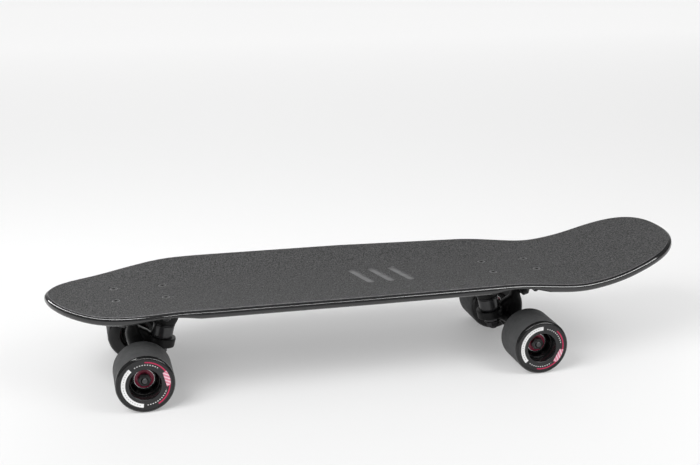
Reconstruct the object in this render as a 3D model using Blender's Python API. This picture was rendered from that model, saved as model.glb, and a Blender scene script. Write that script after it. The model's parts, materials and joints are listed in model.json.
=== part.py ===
"""Cruiser skateboard: a concave wooden deck with a kicktail and wheel wells, two cast trucks that
steer on a kingpin and a pivot, and four soft wheels on ball bearings. Sizes are in metres, the nose
points along -X, the rider's left is -Y, and the wheels stand on z = 0."""

import math

import bmesh
import bpy
from mathutils import Matrix, Vector

# Clearances
SEAT_GAP = 0.0003
HOLE_CLEARANCE = 0.0004

# Deck: overall length over its slanted ends, greatest width, ply thickness
DECK_LENGTH = 0.7312
DECK_WIDTH = 0.2008
DECK_THICKNESS = 0.0085
TOP_EDGE_RADIUS = 0.0030
BOTTOM_EDGE_RADIUS = 0.0042
EDGE_FLAT = 0.0003

# Deck outline seen from above: a superellipse at each end and a slow taper towards the tail
NOSE_LENGTH = 0.199
NOSE_ALONG_POWER = 2.7
NOSE_ACROSS_POWER = 1.78
TAIL_LENGTH = 0.2485
TAIL_ALONG_POWER = 8.0
TAIL_ACROSS_POWER = 2.32
TAPER_LENGTH = 0.379
TAPER_SLOPE = 0.036

# Deck bends: run from the tip to the start of each bend, its radius and the angle it reaches
KICK_LENGTH = 0.1558
KICK_RADIUS = 0.260
KICK_ANGLE = math.radians(18.8)
NOSE_BEND_LENGTH = 0.068
NOSE_BEND_RADIUS = 0.320
NOSE_ANGLE = math.radians(12.0)

# Concave: flat strip along the middle, rise at the widest rail, and where it fades at each end
FLAT_WIDTH = 0.060
CONCAVE_RISE = 0.0096
CONCAVE_POWER = 1.7
NOSE_FADE = (0.038, 0.148)
TAIL_FADE = (0.124, 0.229)

# Wheel wells milled into the underside of the rails
WELL_LENGTH = 0.064
WELL_DEPTH = 0.0042
WELL_REACH = 0.046
WELL_INBOARD = 0.0185

# Mesh steps of the deck along its edge and inwards from it
NOSE_STEPS = 9
MIDDLE_STEPS = 18
TAIL_STEPS = 8
TAIL_CURVE_SHARE = 0.76
RING_SHARES = (0.68, 0.30)
SPINE_NOSE_SETBACK = 0.105
SPINE_TAIL_SETBACK = 0.086

# Grip tape, with three plain slanted bars cut out of it
GRIP_THICKNESS = 0.0009
BAR_COUNT = 3
BAR_LENGTH = 0.054
BAR_WIDTH = 0.009
BAR_PITCH = 0.024
BAR_SLANT = math.radians(15.0)
BAR_GROUP_X = 0.0132

# Truck places
NOSE_SETBACK = 0.1025
WHEELBASE = 0.4344

# Wheels and what turns on the axle
WHEEL_DIAMETER = 0.063
WHEEL_WIDTH = 0.0505
WHEEL_SIDES = 32
WHEEL_DISH_DEPTH = 0.0178
WHEEL_FACE_RADIUS = 0.0284
WHEEL_BORE_RADIUS = 0.0168
WHEEL_OUTER_LIP = 0.0039
WHEEL_INNER_LIP = 0.0048
CORE_WALL = 0.0015
CORE_DRUM_INNER = 0.0150
CORE_DRUM_OUTER = 0.0190
CORE_WEB = 0.0030
CORE_SPOKES = 6
SPOKE_WIDTH = 0.0030
BEARING_RADIUS = 0.011
BEARING_WIDTH = 0.007
BEARING_RIM = 0.0013
SHIELD_RECESS = 0.0005
SPACER_LENGTH = 0.010
SPACER_RADIUS = 0.0050
SPEED_RING_RADIUS = 0.0060
SPEED_RING_THICKNESS = 0.0010
AXLE_DIAMETER = 0.008
AXLE_NUT_ACROSS = 0.0127
AXLE_NUT_HEIGHT = 0.0050
AXLE_NUT_COLLAR = 0.0014
AXLE_END_PROUD = 0.0010

# Truck: the outboard place of the axle, of the ring and of the pivot from the middle of the bolt
# pattern, and the heights of the ring, the pivot and the plate over the axle
HANGER_WIDTH = 0.112
AXLE_OUTBOARD = 0.0044
RING_OUTBOARD = -0.0208
RING_OVER_AXLE = 0.0115
PIVOT_OUTBOARD = 0.0155
PIVOT_OVER_AXLE = 0.0390
KINGPIN_LEAN = math.radians(14.0)
PLATE_OVER_AXLE = 0.0527

# Baseplate, riser pad and deck bolts
PLATE_THICKNESS = 0.0055
PLATE_INBOARD_END = -0.0455
PLATE_OUTBOARD_END = 0.0375
PLATE_WIDTH = 0.056
PLATE_CORNER = 0.008
PLATE_EDGE = 0.0015
BOSS_RADIUS = 0.0125
BOSS_TOP_LENGTH = 0.035
BOSS_TOP_WIDTH = 0.028
HOUSING_WALL = 0.0020
HOUSING_SWELL = 0.0021
RIB_WIDTH = 0.009
RIB_DEPTH = 0.0042
RISER_THICKNESS = 0.0055
RISER_MARGIN = 0.0005
BOLT_SPACING_LONG = 0.054
BOLT_SPACING_ACROSS = 0.0413
BOLT_DIAMETER = 0.0048
BOLT_HEAD_DIAMETER = 0.0092
BOLT_HEAD_SINK = 0.0004
BOLT_HEAD_RIM = 0.0003
BOLT_END_PROUD = 0.0016
LOCK_NUT_ACROSS = 0.0095
LOCK_NUT_HEIGHT = 0.0055
LOCK_NUT_COLLAR = 0.0014

# Kingpin group, measured along the kingpin from the middle of the ring
KINGPIN_DIAMETER = 0.0095
KINGPIN_NUT_ACROSS = 0.0143
KINGPIN_NUT_HEIGHT = 0.0070
KINGPIN_NUT_COLLAR = 0.0018
KINGPIN_HEAD_HEIGHT = 0.0055
KINGPIN_HEAD_SINK = 0.0015
KINGPIN_END_PROUD = 0.0018
BUSHING_RADIUS = 0.0120
BOARD_BUSHING_LENGTH = 0.0158
ROAD_BUSHING_LENGTH = 0.0078
ROAD_BUSHING_TOP = 0.0110
ROAD_BUSHING_BOTTOM = 0.0092
WASHER_THICKNESS = 0.0015
WASHER_EDGE = 0.0004
BOARD_WASHER_RADIUS = 0.0124
ROAD_WASHER_RADIUS = 0.0095

# Hanger casting
RING_RADIUS = 0.0163
RING_HEIGHT = 0.0100
RING_WEB = 0.0050
RING_HOLE_RADIUS = 0.0080
ROAD_POCKET_RADIUS = 0.0134
BUSHING_SEAT_CLEARANCE = 0.0003
BEAM_END_RADIUS = 0.0086
BEAM_MIDDLE_RADIUS = 0.0108
CREST_WIDTH = 0.0130
PIVOT_PIN_RADIUS = 0.0060
PIVOT_PIN_REACH = 0.0050
CUP_WALL = 0.0018
CUP_DEPTH = 0.0105
CUP_MOUTH = 0.0030

# Places worked out from the sizes above
NOSE_TIP = -DECK_LENGTH / 2 + (DECK_THICKNESS - BOTTOM_EDGE_RADIUS) * math.sin(NOSE_ANGLE)
TAIL_TIP = DECK_LENGTH / 2 - (DECK_THICKNESS - BOTTOM_EDGE_RADIUS) * math.sin(KICK_ANGLE)
NOSE_JOIN = NOSE_TIP + NOSE_LENGTH
TAIL_JOIN = TAIL_TIP - TAIL_LENGTH
FRONT_X = -DECK_LENGTH / 2 + NOSE_SETBACK
REAR_X = FRONT_X + WHEELBASE
WHEEL_RADIUS = WHEEL_DIAMETER / 2
AXLE_Z = WHEEL_RADIUS * math.cos(math.pi / WHEEL_SIDES)
PLATE_TOP = AXLE_Z + PLATE_OVER_AXLE
PLATE_UNDER = PLATE_TOP - PLATE_THICKNESS
RISER_UNDER = PLATE_TOP + SEAT_GAP
DECK_UNDER = RISER_UNDER + RISER_THICKNESS + SEAT_GAP
DECK_TOP = DECK_UNDER + DECK_THICKNESS
GRIP_UNDER = DECK_TOP + SEAT_GAP
GRIP_TOP = GRIP_UNDER + GRIP_THICKNESS
RING_CENTRE = Vector((RING_OUTBOARD, 0.0, AXLE_Z + RING_OVER_AXLE))
PIVOT_CENTRE = Vector((PIVOT_OUTBOARD, 0.0, AXLE_Z + PIVOT_OVER_AXLE))
AXLE_CENTRE = Vector((AXLE_OUTBOARD, 0.0, AXLE_Z))
STEER_AXIS = (PIVOT_CENTRE - RING_CENTRE).normalized()
STEER_LENGTH = (PIVOT_CENTRE - RING_CENTRE).length
STEER_TILT = math.atan2(STEER_AXIS.x, STEER_AXIS.z)

# Stations out from the middle of the axle
SPEED_RING_Y = HANGER_WIDTH / 2 + SEAT_GAP
INNER_BEARING_Y = SPEED_RING_Y + SPEED_RING_THICKNESS + SEAT_GAP
SPACER_Y = INNER_BEARING_Y + BEARING_WIDTH + SEAT_GAP
OUTER_BEARING_Y = SPACER_Y + SPACER_LENGTH + SEAT_GAP
OUTER_SPEED_RING_Y = OUTER_BEARING_Y + BEARING_WIDTH + SEAT_GAP
AXLE_NUT_Y = OUTER_SPEED_RING_Y + SPEED_RING_THICKNESS + SEAT_GAP
AXLE_END_Y = AXLE_NUT_Y + AXLE_NUT_HEIGHT + AXLE_END_PROUD
HUB_Y = SPACER_Y + SPACER_LENGTH / 2
WHEEL_OUTER_FACE = OUTER_BEARING_Y + BEARING_WIDTH + WHEEL_DISH_DEPTH - HUB_Y
WHEEL_INNER_FACE = WHEEL_OUTER_FACE - WHEEL_WIDTH

# Stations along the kingpin, up towards the board
BUSHING_SEAT = RING_WEB / 2 + SEAT_GAP
BOARD_WASHER_AT = BUSHING_SEAT + BOARD_BUSHING_LENGTH + SEAT_GAP
BOSS_AT = BOARD_WASHER_AT + WASHER_THICKNESS + SEAT_GAP
ROAD_WASHER_AT = -BUSHING_SEAT - ROAD_BUSHING_LENGTH - SEAT_GAP - WASHER_THICKNESS
KINGPIN_NUT_AT = ROAD_WASHER_AT - SEAT_GAP - KINGPIN_NUT_HEIGHT
KINGPIN_END = KINGPIN_NUT_AT - KINGPIN_END_PROUD
KINGPIN_HEAD_RADIUS = KINGPIN_NUT_ACROSS / 2 / math.cos(math.pi / 6)
KINGPIN_HEAD_TOP = (
    (PLATE_TOP - RING_CENTRE.z) / math.cos(KINGPIN_LEAN)
    - KINGPIN_HEAD_RADIUS * math.tan(KINGPIN_LEAN)
    - KINGPIN_HEAD_SINK
)
KINGPIN_HEAD_UNDER = KINGPIN_HEAD_TOP - KINGPIN_HEAD_HEIGHT
CUP_RADIUS = PIVOT_PIN_RADIUS + SEAT_GAP + CUP_WALL
CUP_BORE_RADIUS = CUP_RADIUS + SEAT_GAP
HOUSING_RADIUS = CUP_BORE_RADIUS + HOUSING_WALL

# Sides of the round pieces, by their size
FINE_SIDES = 24
ROUND_SIDES = 16
SMALL_SIDES = 10

# Ways to place what is drawn along local Z
ALONG_KINGPIN = Matrix.Translation(RING_CENTRE) @ Matrix.Rotation(-KINGPIN_LEAN, 4, "Y")
ALONG_STEER = Matrix.Translation(PIVOT_CENTRE) @ Matrix.Rotation(STEER_TILT, 4, "Y")
Z_TO_Y = Matrix.Rotation(-math.pi / 2, 4, "X")
ALONG_AXLE = Matrix.Translation(AXLE_CENTRE) @ Z_TO_Y

BOLT_PLACES = [
    (x * BOLT_SPACING_LONG / 2, y * BOLT_SPACING_ACROSS / 2) for x in (-1, 1) for y in (-1, 1)
]


def finish(name, colour, roughness, metallic=0.0):
    """A material with one colour, roughness and metallic value."""
    material = bpy.data.materials.new(name)
    material.use_nodes = True
    shader = material.node_tree.nodes["Principled BSDF"]
    shader.inputs["Base Color"].default_value = (*colour, 1.0)
    shader.inputs["Roughness"].default_value = roughness
    shader.inputs["Metallic"].default_value = metallic
    material.diffuse_color = (*colour, 1.0)
    return material


def smoothstep(value):
    value = min(max(value, 0.0), 1.0)
    return value * value * (3 - 2 * value)


# Mesh helpers


def loft(sections):
    """A skin through closed sections of as many points each, with flat end caps."""
    bm = bmesh.new()
    rings = [[bm.verts.new(point) for point in section] for section in sections]
    for lower, upper in zip(rings, rings[1:]):
        count = len(lower)
        for i in range(count):
            after = (i + 1) % count
            bm.faces.new((lower[i], lower[after], upper[after], upper[i]))
    bm.faces.new(rings[0][::-1])
    bm.faces.new(rings[-1])
    bmesh.ops.recalc_face_normals(bm, faces=bm.faces)
    return bm


def turned(profile, sides, place=Matrix.Identity(4), on_flat=False):
    """Turns (radius, height) points about local Z. A profile that starts and ends on the axis makes a
    solid, and any other is closed into a ring. on_flat puts a flat side at +X, not a corner."""
    bm = bmesh.new()
    verts = [bm.verts.new((radius, 0.0, height)) for radius, height in profile]
    edges = [bm.edges.new(pair) for pair in zip(verts, verts[1:])]
    solid = profile[0][0] == 0.0 and profile[-1][0] == 0.0
    if not solid:
        edges.append(bm.edges.new((verts[-1], verts[0])))
    bmesh.ops.spin(
        bm,
        geom=verts + edges,
        cent=(0, 0, 0),
        axis=(0, 0, 1),
        angle=2 * math.pi,
        steps=sides,
        use_merge=True,
    )
    bmesh.ops.remove_doubles(bm, verts=bm.verts, dist=1e-7)
    turn = Matrix.Rotation(math.pi / sides if on_flat else 0.0, 4, "Z")
    bmesh.ops.transform(bm, matrix=place @ turn, verts=bm.verts)
    bmesh.ops.recalc_face_normals(bm, faces=bm.faces)
    return bm


def rod(radius, low, high, sides, place=Matrix.Identity(4)):
    """A plain round bar between two stations of local Z."""
    return turned([(0.0, low), (radius, low), (radius, high), (0.0, high)], sides, place)


def tube(inner, outer, low, high, sides, place=Matrix.Identity(4)):
    """A plain round tube between two stations of local Z."""
    return turned([(inner, low), (outer, low), (outer, high), (inner, high)], sides, place)


def hexagon(across, low, high, chamfer, place=Matrix.Identity(4)):
    """A hexagonal prism with its corners chamfered at the high end."""
    corner = across / 2 / math.cos(math.pi / 6)
    profile = [(0.0, low), (corner, low), (corner, high - chamfer), (across / 2, high), (0.0, high)]
    return turned(profile, 6, place)


def rounded_rectangle(low_x, high_x, width, corner, steps=3):
    """Points (x, y) of a rectangle with round corners, counterclockwise."""
    half = width / 2 - corner
    corners = [(high_x - corner, half), (low_x + corner, half)]
    corners += [(low_x + corner, -half), (high_x - corner, -half)]
    points = []
    for quarter, (x, y) in enumerate(corners):
        for step in range(steps + 1):
            turn = (quarter + step / steps) * math.pi / 2
            point = Vector((x + corner * math.cos(turn), y + corner * math.sin(turn)))
            if not points or min((point - other).length for other in points) > 1e-6:
                points.append(point)
    return points


def prism(points, low, high):
    """An upright prism on (x, y) points."""
    return loft([[Vector((x, y, z)) for x, y in points] for z in (low, high)])


def ellipse_section(centre, normal_tilt, half_x, half_y, power=2.0, count=16):
    """A closed superellipse across a path that leans by normal_tilt from +Z towards +X."""
    place = Matrix.Translation(centre) @ Matrix.Rotation(normal_tilt, 4, "Y")
    points = []
    for i in range(count):
        turn = 2 * math.pi * i / count
        cosine, sine = math.cos(turn), math.sin(turn)
        x = half_x * math.copysign(abs(cosine) ** (2 / power), cosine)
        y = half_y * math.copysign(abs(sine) ** (2 / power), sine)
        points.append(place @ Vector((x, y, 0.0)))
    return points


def mesh_from(name, bm, material):
    """Turns a bmesh into a mesh shaded smooth, with its real edges kept sharp."""
    mesh = bpy.data.meshes.new(name)
    bm.to_mesh(mesh)
    bm.free()
    mesh.materials.append(material)
    mesh.shade_smooth()
    mesh.set_sharp_from_angle(angle=math.radians(32))
    return mesh


def shaped(name, base, material, added=(), cut=()):
    """The mesh of a base shape with other shapes fused to it and then cut from it."""
    helpers = []

    def helper(bm):
        mesh = bpy.data.meshes.new("helper")
        bm.to_mesh(mesh)
        bm.free()
        obj = bpy.data.objects.new("helper", mesh)
        bpy.context.scene.collection.objects.link(obj)
        helpers.append(obj)
        return obj

    body = helper(base)
    for operation, shapes in (("UNION", added), ("DIFFERENCE", cut)):
        for shape in shapes:
            modifier = body.modifiers.new(operation, "BOOLEAN")
            modifier.operation = operation
            modifier.solver = "EXACT"
            modifier.object = helper(shape)
    bpy.context.view_layer.update()
    graph = bpy.context.evaluated_depsgraph_get()
    made = bpy.data.meshes.new_from_object(body.evaluated_get(graph))
    bm = bmesh.new()
    bm.from_mesh(made)
    bpy.data.meshes.remove(made)
    for obj in helpers:
        mesh = obj.data
        bpy.data.objects.remove(obj)
        bpy.data.meshes.remove(mesh)
    return mesh_from(name, bm, material)


def empty(name, location, parent=None, turn=0.0):
    """A frame that other objects hang from."""
    obj = bpy.data.objects.new(name, None)
    obj.empty_display_size = 0.02
    obj.location = location
    obj.rotation_euler = (0.0, 0.0, turn)
    obj.parent = parent
    bpy.context.scene.collection.objects.link(obj)
    return obj


def place_object(name, mesh, parent=None, location=(0.0, 0.0, 0.0)):
    obj = bpy.data.objects.new(name, mesh)
    obj.parent = parent
    obj.location = location
    bpy.context.scene.collection.objects.link(obj)
    return obj


# Deck and grip tape


def half_width(x):
    """Half the deck's width at x."""
    half = DECK_WIDTH / 2 - TAPER_SLOPE * max(x - (TAIL_TIP - TAPER_LENGTH), 0.0)
    to_nose = min((NOSE_JOIN - x) / NOSE_LENGTH, 1.0)
    to_tail = min((x - TAIL_JOIN) / TAIL_LENGTH, 1.0)
    if to_nose > 0:
        half *= (1 - to_nose**NOSE_ALONG_POWER) ** (1 / NOSE_ACROSS_POWER)
    if to_tail > 0:
        half *= (1 - to_tail**TAIL_ALONG_POWER) ** (1 / TAIL_ACROSS_POWER)
    return half


def deck_outline():
    """The deck's edge as a counterclockwise loop of (x, y) from the nose tip."""
    stations = []
    for step in range(NOSE_STEPS):
        turn = math.pi / 2 * step / NOSE_STEPS
        stations.append(NOSE_JOIN - NOSE_LENGTH * math.cos(turn) ** (2 / NOSE_ALONG_POWER))
    curve_start = TAIL_JOIN + TAIL_CURVE_SHARE * TAIL_LENGTH
    for step in range(MIDDLE_STEPS):
        stations.append(NOSE_JOIN + (curve_start - NOSE_JOIN) * step / MIDDLE_STEPS)
    first_turn = math.acos(TAIL_CURVE_SHARE ** (TAIL_ALONG_POWER / 2))
    for step in range(TAIL_STEPS + 1):
        turn = first_turn * (1 - step / TAIL_STEPS)
        stations.append(TAIL_JOIN + TAIL_LENGTH * math.cos(turn) ** (2 / TAIL_ALONG_POWER))
    left = [(x, -half_width(x)) for x in stations]
    right = [(x, -y) for x, y in left[-2:0:-1]]
    return left + right


def inset(loop, distances):
    """The loop moved inwards, square to its edge, by a distance for each point or for them all."""
    if isinstance(distances, float):
        distances = [distances] * len(loop)
    moved = []
    for i, (x, y) in enumerate(loop):
        before = loop[i - 1]
        after = loop[(i + 1) % len(loop)]
        along = Vector((after[0] - before[0], after[1] - before[1])).normalized()
        moved.append((x - along.y * distances[i], y + along.x * distances[i]))
    return moved


def drawn_in(loop, share):
    """The loop shrunk towards the deck's middle line, whose ends lie inside the nose and the tail."""
    first = NOSE_TIP + SPINE_NOSE_SETBACK
    last = TAIL_TIP - SPINE_TAIL_SETBACK
    points = []
    for x, y in loop:
        middle = min(max(x, first), last)
        points.append((middle + share * (x - middle), share * y))
    return points


def bend(run, radius, angle):
    """Rise of a bend of one radius that ends in a straight slope, after a run along X."""
    if run <= 0:
        return 0.0
    round_run = radius * math.sin(angle)
    if run <= round_run:
        return radius - math.sqrt(radius * radius - run * run)
    return radius * (1 - math.cos(angle)) + (run - round_run) * math.tan(angle)


def concave(x, y):
    """Rise of the rails over the deck's flat strip."""
    share = max(abs(y) - FLAT_WIDTH / 2, 0.0) / (DECK_WIDTH / 2 - FLAT_WIDTH / 2)
    from_nose = smoothstep((x - NOSE_TIP - NOSE_FADE[0]) / (NOSE_FADE[1] - NOSE_FADE[0]))
    from_tail = smoothstep((TAIL_TIP - x - TAIL_FADE[0]) / (TAIL_FADE[1] - TAIL_FADE[0]))
    return CONCAVE_RISE * share**CONCAVE_POWER * from_nose * from_tail


def rise(x, y):
    """Height of the deck's top over its flat middle."""
    kick = bend(x - (TAIL_TIP - KICK_LENGTH), KICK_RADIUS, KICK_ANGLE)
    nose = bend(NOSE_TIP + NOSE_BEND_LENGTH - x, NOSE_BEND_RADIUS, NOSE_ANGLE)
    return kick + nose + concave(x, y)


def surface_point(x, y, depth):
    """The point under the deck's top at (x, y), measured square to that surface."""
    step = 0.0005
    slope_x = (rise(x + step, y) - rise(x - step, y)) / (2 * step)
    slope_y = (rise(x, y + step) - rise(x, y - step)) / (2 * step)
    upward = Vector((-slope_x, -slope_y, 1.0)).normalized()
    return Vector((x, y, DECK_TOP + rise(x, y))) - upward * depth


def well(x, y):
    """Depth of the wheel wells in the underside."""
    across = smoothstep((abs(y) - (DECK_WIDTH / 2 - WELL_REACH)) / WELL_REACH)
    depth = 0.0
    for middle in (FRONT_X + WELL_INBOARD, REAR_X - WELL_INBOARD):
        along = (x - middle) / (WELL_LENGTH / 2)
        depth += WELL_DEPTH * max(1 - along * along, 0.0) * across
    return depth


def plate_between(top, bottom):
    """A closed plate between two skins. Each skin is a list of loops from the middle out to the rim,
    and its first loop is filled by strips across the middle line."""
    bm = bmesh.new()
    rims = []
    for loops in (top, bottom):
        rings = [[bm.verts.new(point) for point in loop] for loop in loops]
        count = len(rings[0])
        for inner, outer in zip(rings, rings[1:]):
            for i in range(count):
                after = (i + 1) % count
                bm.faces.new((inner[i], outer[i], outer[after]))
                bm.faces.new((inner[i], outer[after], inner[after]))
        for i in range(count // 2):
            first = rings[0]
            corners = [first[i], first[i + 1], first[-i - 1], first[-i]]
            bm.faces.new(list(dict.fromkeys(corners)))
        rims.append(rings[-1])
    upper, lower = rims
    for i in range(len(upper)):
        after = (i + 1) % len(upper)
        bm.faces.new((upper[i], lower[i], lower[after], upper[after]))
    bmesh.ops.recalc_face_normals(bm, faces=bm.faces)
    return bm


def top_skin(outline, depth, rounded):
    """Loops over the board's top from the middle out, at one depth, with its edge rounded or not."""
    edge = inset(outline, TOP_EDGE_RADIUS)
    loops = [(drawn_in(edge, share), depth) for share in RING_SHARES[::-1]] + [(edge, depth)]
    if rounded:
        for turn in (math.pi / 4, math.pi / 2):
            step = TOP_EDGE_RADIUS * (1 - math.sin(turn))
            loops.append((inset(outline, step), TOP_EDGE_RADIUS * (1 - math.cos(turn))))
    return [[surface_point(x, y, down) for x, y in loop] for loop, down in loops]


def under_skin(outline):
    """Loops over the deck's underside from the middle out to its rounded edge. The edge is rounded
    less where the wheel wells leave less wood."""
    edge = inset(outline, BOTTOM_EDGE_RADIUS)
    flat = [drawn_in(edge, share) for share in RING_SHARES[::-1]]
    skin = [[surface_point(x, y, DECK_THICKNESS - well(x, y)) for x, y in loop] for loop in flat]
    walls = [DECK_THICKNESS - well(x, y) for x, y in outline]
    radii = [min(BOTTOM_EDGE_RADIUS, wall - TOP_EDGE_RADIUS - EDGE_FLAT) for wall in walls]
    for turn in (0.0, math.pi / 4, math.pi / 2):
        loop = inset(outline, [radius * (1 - math.sin(turn)) for radius in radii])
        drops = [radius * (1 - math.cos(turn)) for radius in radii]
        points = zip(loop, walls, drops)
        skin.append([surface_point(x, y, wall - drop) for (x, y), wall, drop in points])
    return skin


def bolt_profile(clearance, under):
    """A countersunk bolt, or with clearance the hole that it needs, down to under."""
    shank = BOLT_DIAMETER / 2 + clearance
    head = BOLT_HEAD_DIAMETER / 2 + clearance
    top = GRIP_TOP - BOLT_HEAD_SINK
    rim = top - BOLT_HEAD_RIM
    return [(0.0, under), (shank, under), (shank, rim - head + shank), (head, rim), (head, top)]


def at_bolts(centres=(0.0,)):
    """The places of the deck bolts round each truck's middle."""
    return [Matrix.Translation((x + dx, dy, 0.0)) for x in centres for dx, dy in BOLT_PLACES]


def deck_mesh():
    outline = deck_outline()
    base = plate_between(top_skin(outline, 0.0, True), under_skin(outline))
    above = GRIP_TOP + DECK_THICKNESS
    profile = bolt_profile(HOLE_CLEARANCE, DECK_UNDER - DECK_THICKNESS)
    profile[-1] = (profile[-1][0], above)
    profile.append((0.0, above))
    holes = [turned(profile, SMALL_SIDES, place) for place in at_bolts((FRONT_X, REAR_X))]
    maple = finish("stained maple", (0.012, 0.012, 0.013), 0.22)
    return shaped("deck", base, maple, cut=holes)


def bar_outline():
    return rounded_rectangle(-BAR_WIDTH / 2, BAR_WIDTH / 2, BAR_LENGTH, BAR_WIDTH / 2, 3)


def grip_mesh():
    outline = deck_outline()
    under = -SEAT_GAP
    over = under - GRIP_THICKNESS
    base = plate_between(top_skin(outline, over, False), top_skin(outline, under, False))
    low = DECK_TOP - GRIP_THICKNESS
    high = GRIP_TOP + GRIP_THICKNESS
    head = BOLT_HEAD_DIAMETER / 2 + HOLE_CLEARANCE
    cutters = [rod(head, low, high, SMALL_SIDES, place) for place in at_bolts((FRONT_X, REAR_X))]
    for i in range(BAR_COUNT):
        x = BAR_GROUP_X + (i - (BAR_COUNT - 1) / 2) * BAR_PITCH
        bar = prism(bar_outline(), low, high)
        place = Matrix.Translation((x, 0.0, 0.0)) @ Matrix.Rotation(BAR_SLANT, 4, "Z")
        bmesh.ops.transform(bar, matrix=place, verts=bar.verts)
        cutters.append(bar)
    grit = finish("grip grit", (0.105, 0.108, 0.110), 0.95)
    return shaped("grip_tape", base, grit, cut=cutters)


# Board side of a truck, drawn with +X outboard from the middle of the bolt pattern


def riser_mesh():
    outline = rounded_rectangle(
        PLATE_INBOARD_END - RISER_MARGIN,
        PLATE_OUTBOARD_END + RISER_MARGIN,
        PLATE_WIDTH + 2 * RISER_MARGIN,
        PLATE_CORNER,
    )
    base = prism(outline, RISER_UNDER, RISER_UNDER + RISER_THICKNESS)
    hole = BOLT_DIAMETER / 2 + HOLE_CLEARANCE
    low = RISER_UNDER - RISER_THICKNESS
    holes = [rod(hole, low, DECK_TOP, SMALL_SIDES, place) for place in at_bolts()]
    rubber = finish("riser rubber", (0.010, 0.010, 0.011), 0.8)
    return shaped("riser", base, rubber, cut=holes)


def baseplate_mesh():
    outline = rounded_rectangle(PLATE_INBOARD_END, PLATE_OUTBOARD_END, PLATE_WIDTH, PLATE_CORNER)
    lower = rounded_rectangle(
        PLATE_INBOARD_END + PLATE_EDGE,
        PLATE_OUTBOARD_END - PLATE_EDGE,
        PLATE_WIDTH - 2 * PLATE_EDGE,
        PLATE_CORNER - PLATE_EDGE,
    )
    base = loft(
        [
            [Vector((x, y, PLATE_UNDER)) for x, y in lower],
            [Vector((x, y, PLATE_UNDER + PLATE_EDGE)) for x, y in outline],
            [Vector((x, y, PLATE_TOP)) for x, y in outline],
        ]
    )
    embedded = PLATE_UNDER + 0.4 * PLATE_THICKNESS
    boss_end = ALONG_KINGPIN @ Vector((0.0, 0.0, BOSS_AT))
    boss_middle = PLATE_INBOARD_END + PLATE_EDGE + BOSS_TOP_LENGTH / 2
    neck = boss_end + Vector((-0.0008, 0.0, 0.0045))
    top = Vector((boss_middle, 0.0, embedded))
    half_x, half_y = BOSS_TOP_LENGTH / 2, BOSS_TOP_WIDTH / 2
    boss = loft(
        [
            ellipse_section(boss_end, -KINGPIN_LEAN, BOSS_RADIUS, BOSS_RADIUS),
            ellipse_section(neck, -KINGPIN_LEAN / 2, BOSS_RADIUS + 0.0021, BOSS_RADIUS + 0.0006, 2.1),
            ellipse_section(
                top - Vector((0.0, 0.0, 0.0045)), 0.0, half_x - 0.0006, half_y - 0.0004, 2.3
            ),
            ellipse_section(top, 0.0, half_x, half_y, 2.4),
        ]
    )
    back = CUP_DEPTH - CUP_MOUTH
    swell = HOUSING_RADIUS + HOUSING_SWELL
    tail = Vector((PIVOT_OUTBOARD + 0.0128, 0.0, PLATE_UNDER - 0.0020))
    housing = loft(
        [
            ellipse_section(ALONG_STEER @ Vector((0.0, 0.0, at)), STEER_TILT, half, half)
            for at, half in (
                (-CUP_MOUTH, HOUSING_RADIUS),
                (0.4 * back, swell),
                (back - 0.0010, swell - 0.0024),
            )
        ]
        + [ellipse_section(tail, math.radians(72), 0.0054, 0.0080)]
        + [ellipse_section(tail + Vector((0.0035, 0.0, 0.0024)), math.radians(72), 0.0034, 0.0060)]
    )
    rib = prism(
        rounded_rectangle(
            boss_middle, PIVOT_OUTBOARD - HOUSING_RADIUS / 2, RIB_WIDTH, RIB_WIDTH / 4, 2
        ),
        PLATE_UNDER - RIB_DEPTH,
        embedded,
    )
    pin_hole = rod(KINGPIN_DIAMETER / 2 + SEAT_GAP, 0.0, KINGPIN_HEAD_TOP, ROUND_SIDES, ALONG_KINGPIN)
    head_room = rod(
        KINGPIN_HEAD_RADIUS + HOLE_CLEARANCE,
        KINGPIN_HEAD_UNDER - SEAT_GAP,
        KINGPIN_HEAD_TOP + PLATE_THICKNESS,
        ROUND_SIDES,
        ALONG_KINGPIN,
    )
    cup_bore = rod(CUP_BORE_RADIUS, -2 * CUP_DEPTH, back + SEAT_GAP, ROUND_SIDES, ALONG_STEER)
    hole = BOLT_DIAMETER / 2 + HOLE_CLEARANCE
    low = PLATE_UNDER - PLATE_THICKNESS
    holes = [rod(hole, low, DECK_UNDER, SMALL_SIDES, place) for place in at_bolts()]
    cast = finish("black cast baseplate", (0.012, 0.012, 0.013), 0.45, 0.0)
    return shaped(
        "baseplate",
        base,
        cast,
        added=[boss, housing, rib],
        cut=[pin_hole, head_room, cup_bore, *holes],
    )


def pivot_cup_mesh():
    back = CUP_DEPTH - CUP_MOUTH
    inner = PIVOT_PIN_RADIUS + SEAT_GAP
    floor = PIVOT_PIN_REACH + SEAT_GAP
    profile = [
        (0.0, back),
        (CUP_RADIUS, back),
        (CUP_RADIUS, -CUP_MOUTH - 0.0006),
        (inner, -CUP_MOUTH - 0.0006),
        (inner, floor - 0.0020),
        (0.6 * inner, floor),
        (0.0, floor),
    ]
    bm = turned(profile, ROUND_SIDES, ALONG_STEER)
    return mesh_from("pivot_cup", bm, finish("pivot cup plastic", (0.02, 0.02, 0.02), 0.5))


def kingpin_mesh():
    shank = rod(KINGPIN_DIAMETER / 2, KINGPIN_END, KINGPIN_HEAD_TOP - 0.001, ROUND_SIDES, ALONG_KINGPIN)
    head = hexagon(
        KINGPIN_NUT_ACROSS, KINGPIN_HEAD_UNDER, KINGPIN_HEAD_TOP, 0.0008, ALONG_KINGPIN
    )
    steel = finish("kingpin steel", (0.10, 0.10, 0.105), 0.35, 1.0)
    return shaped("kingpin", shank, steel, added=[head])


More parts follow.
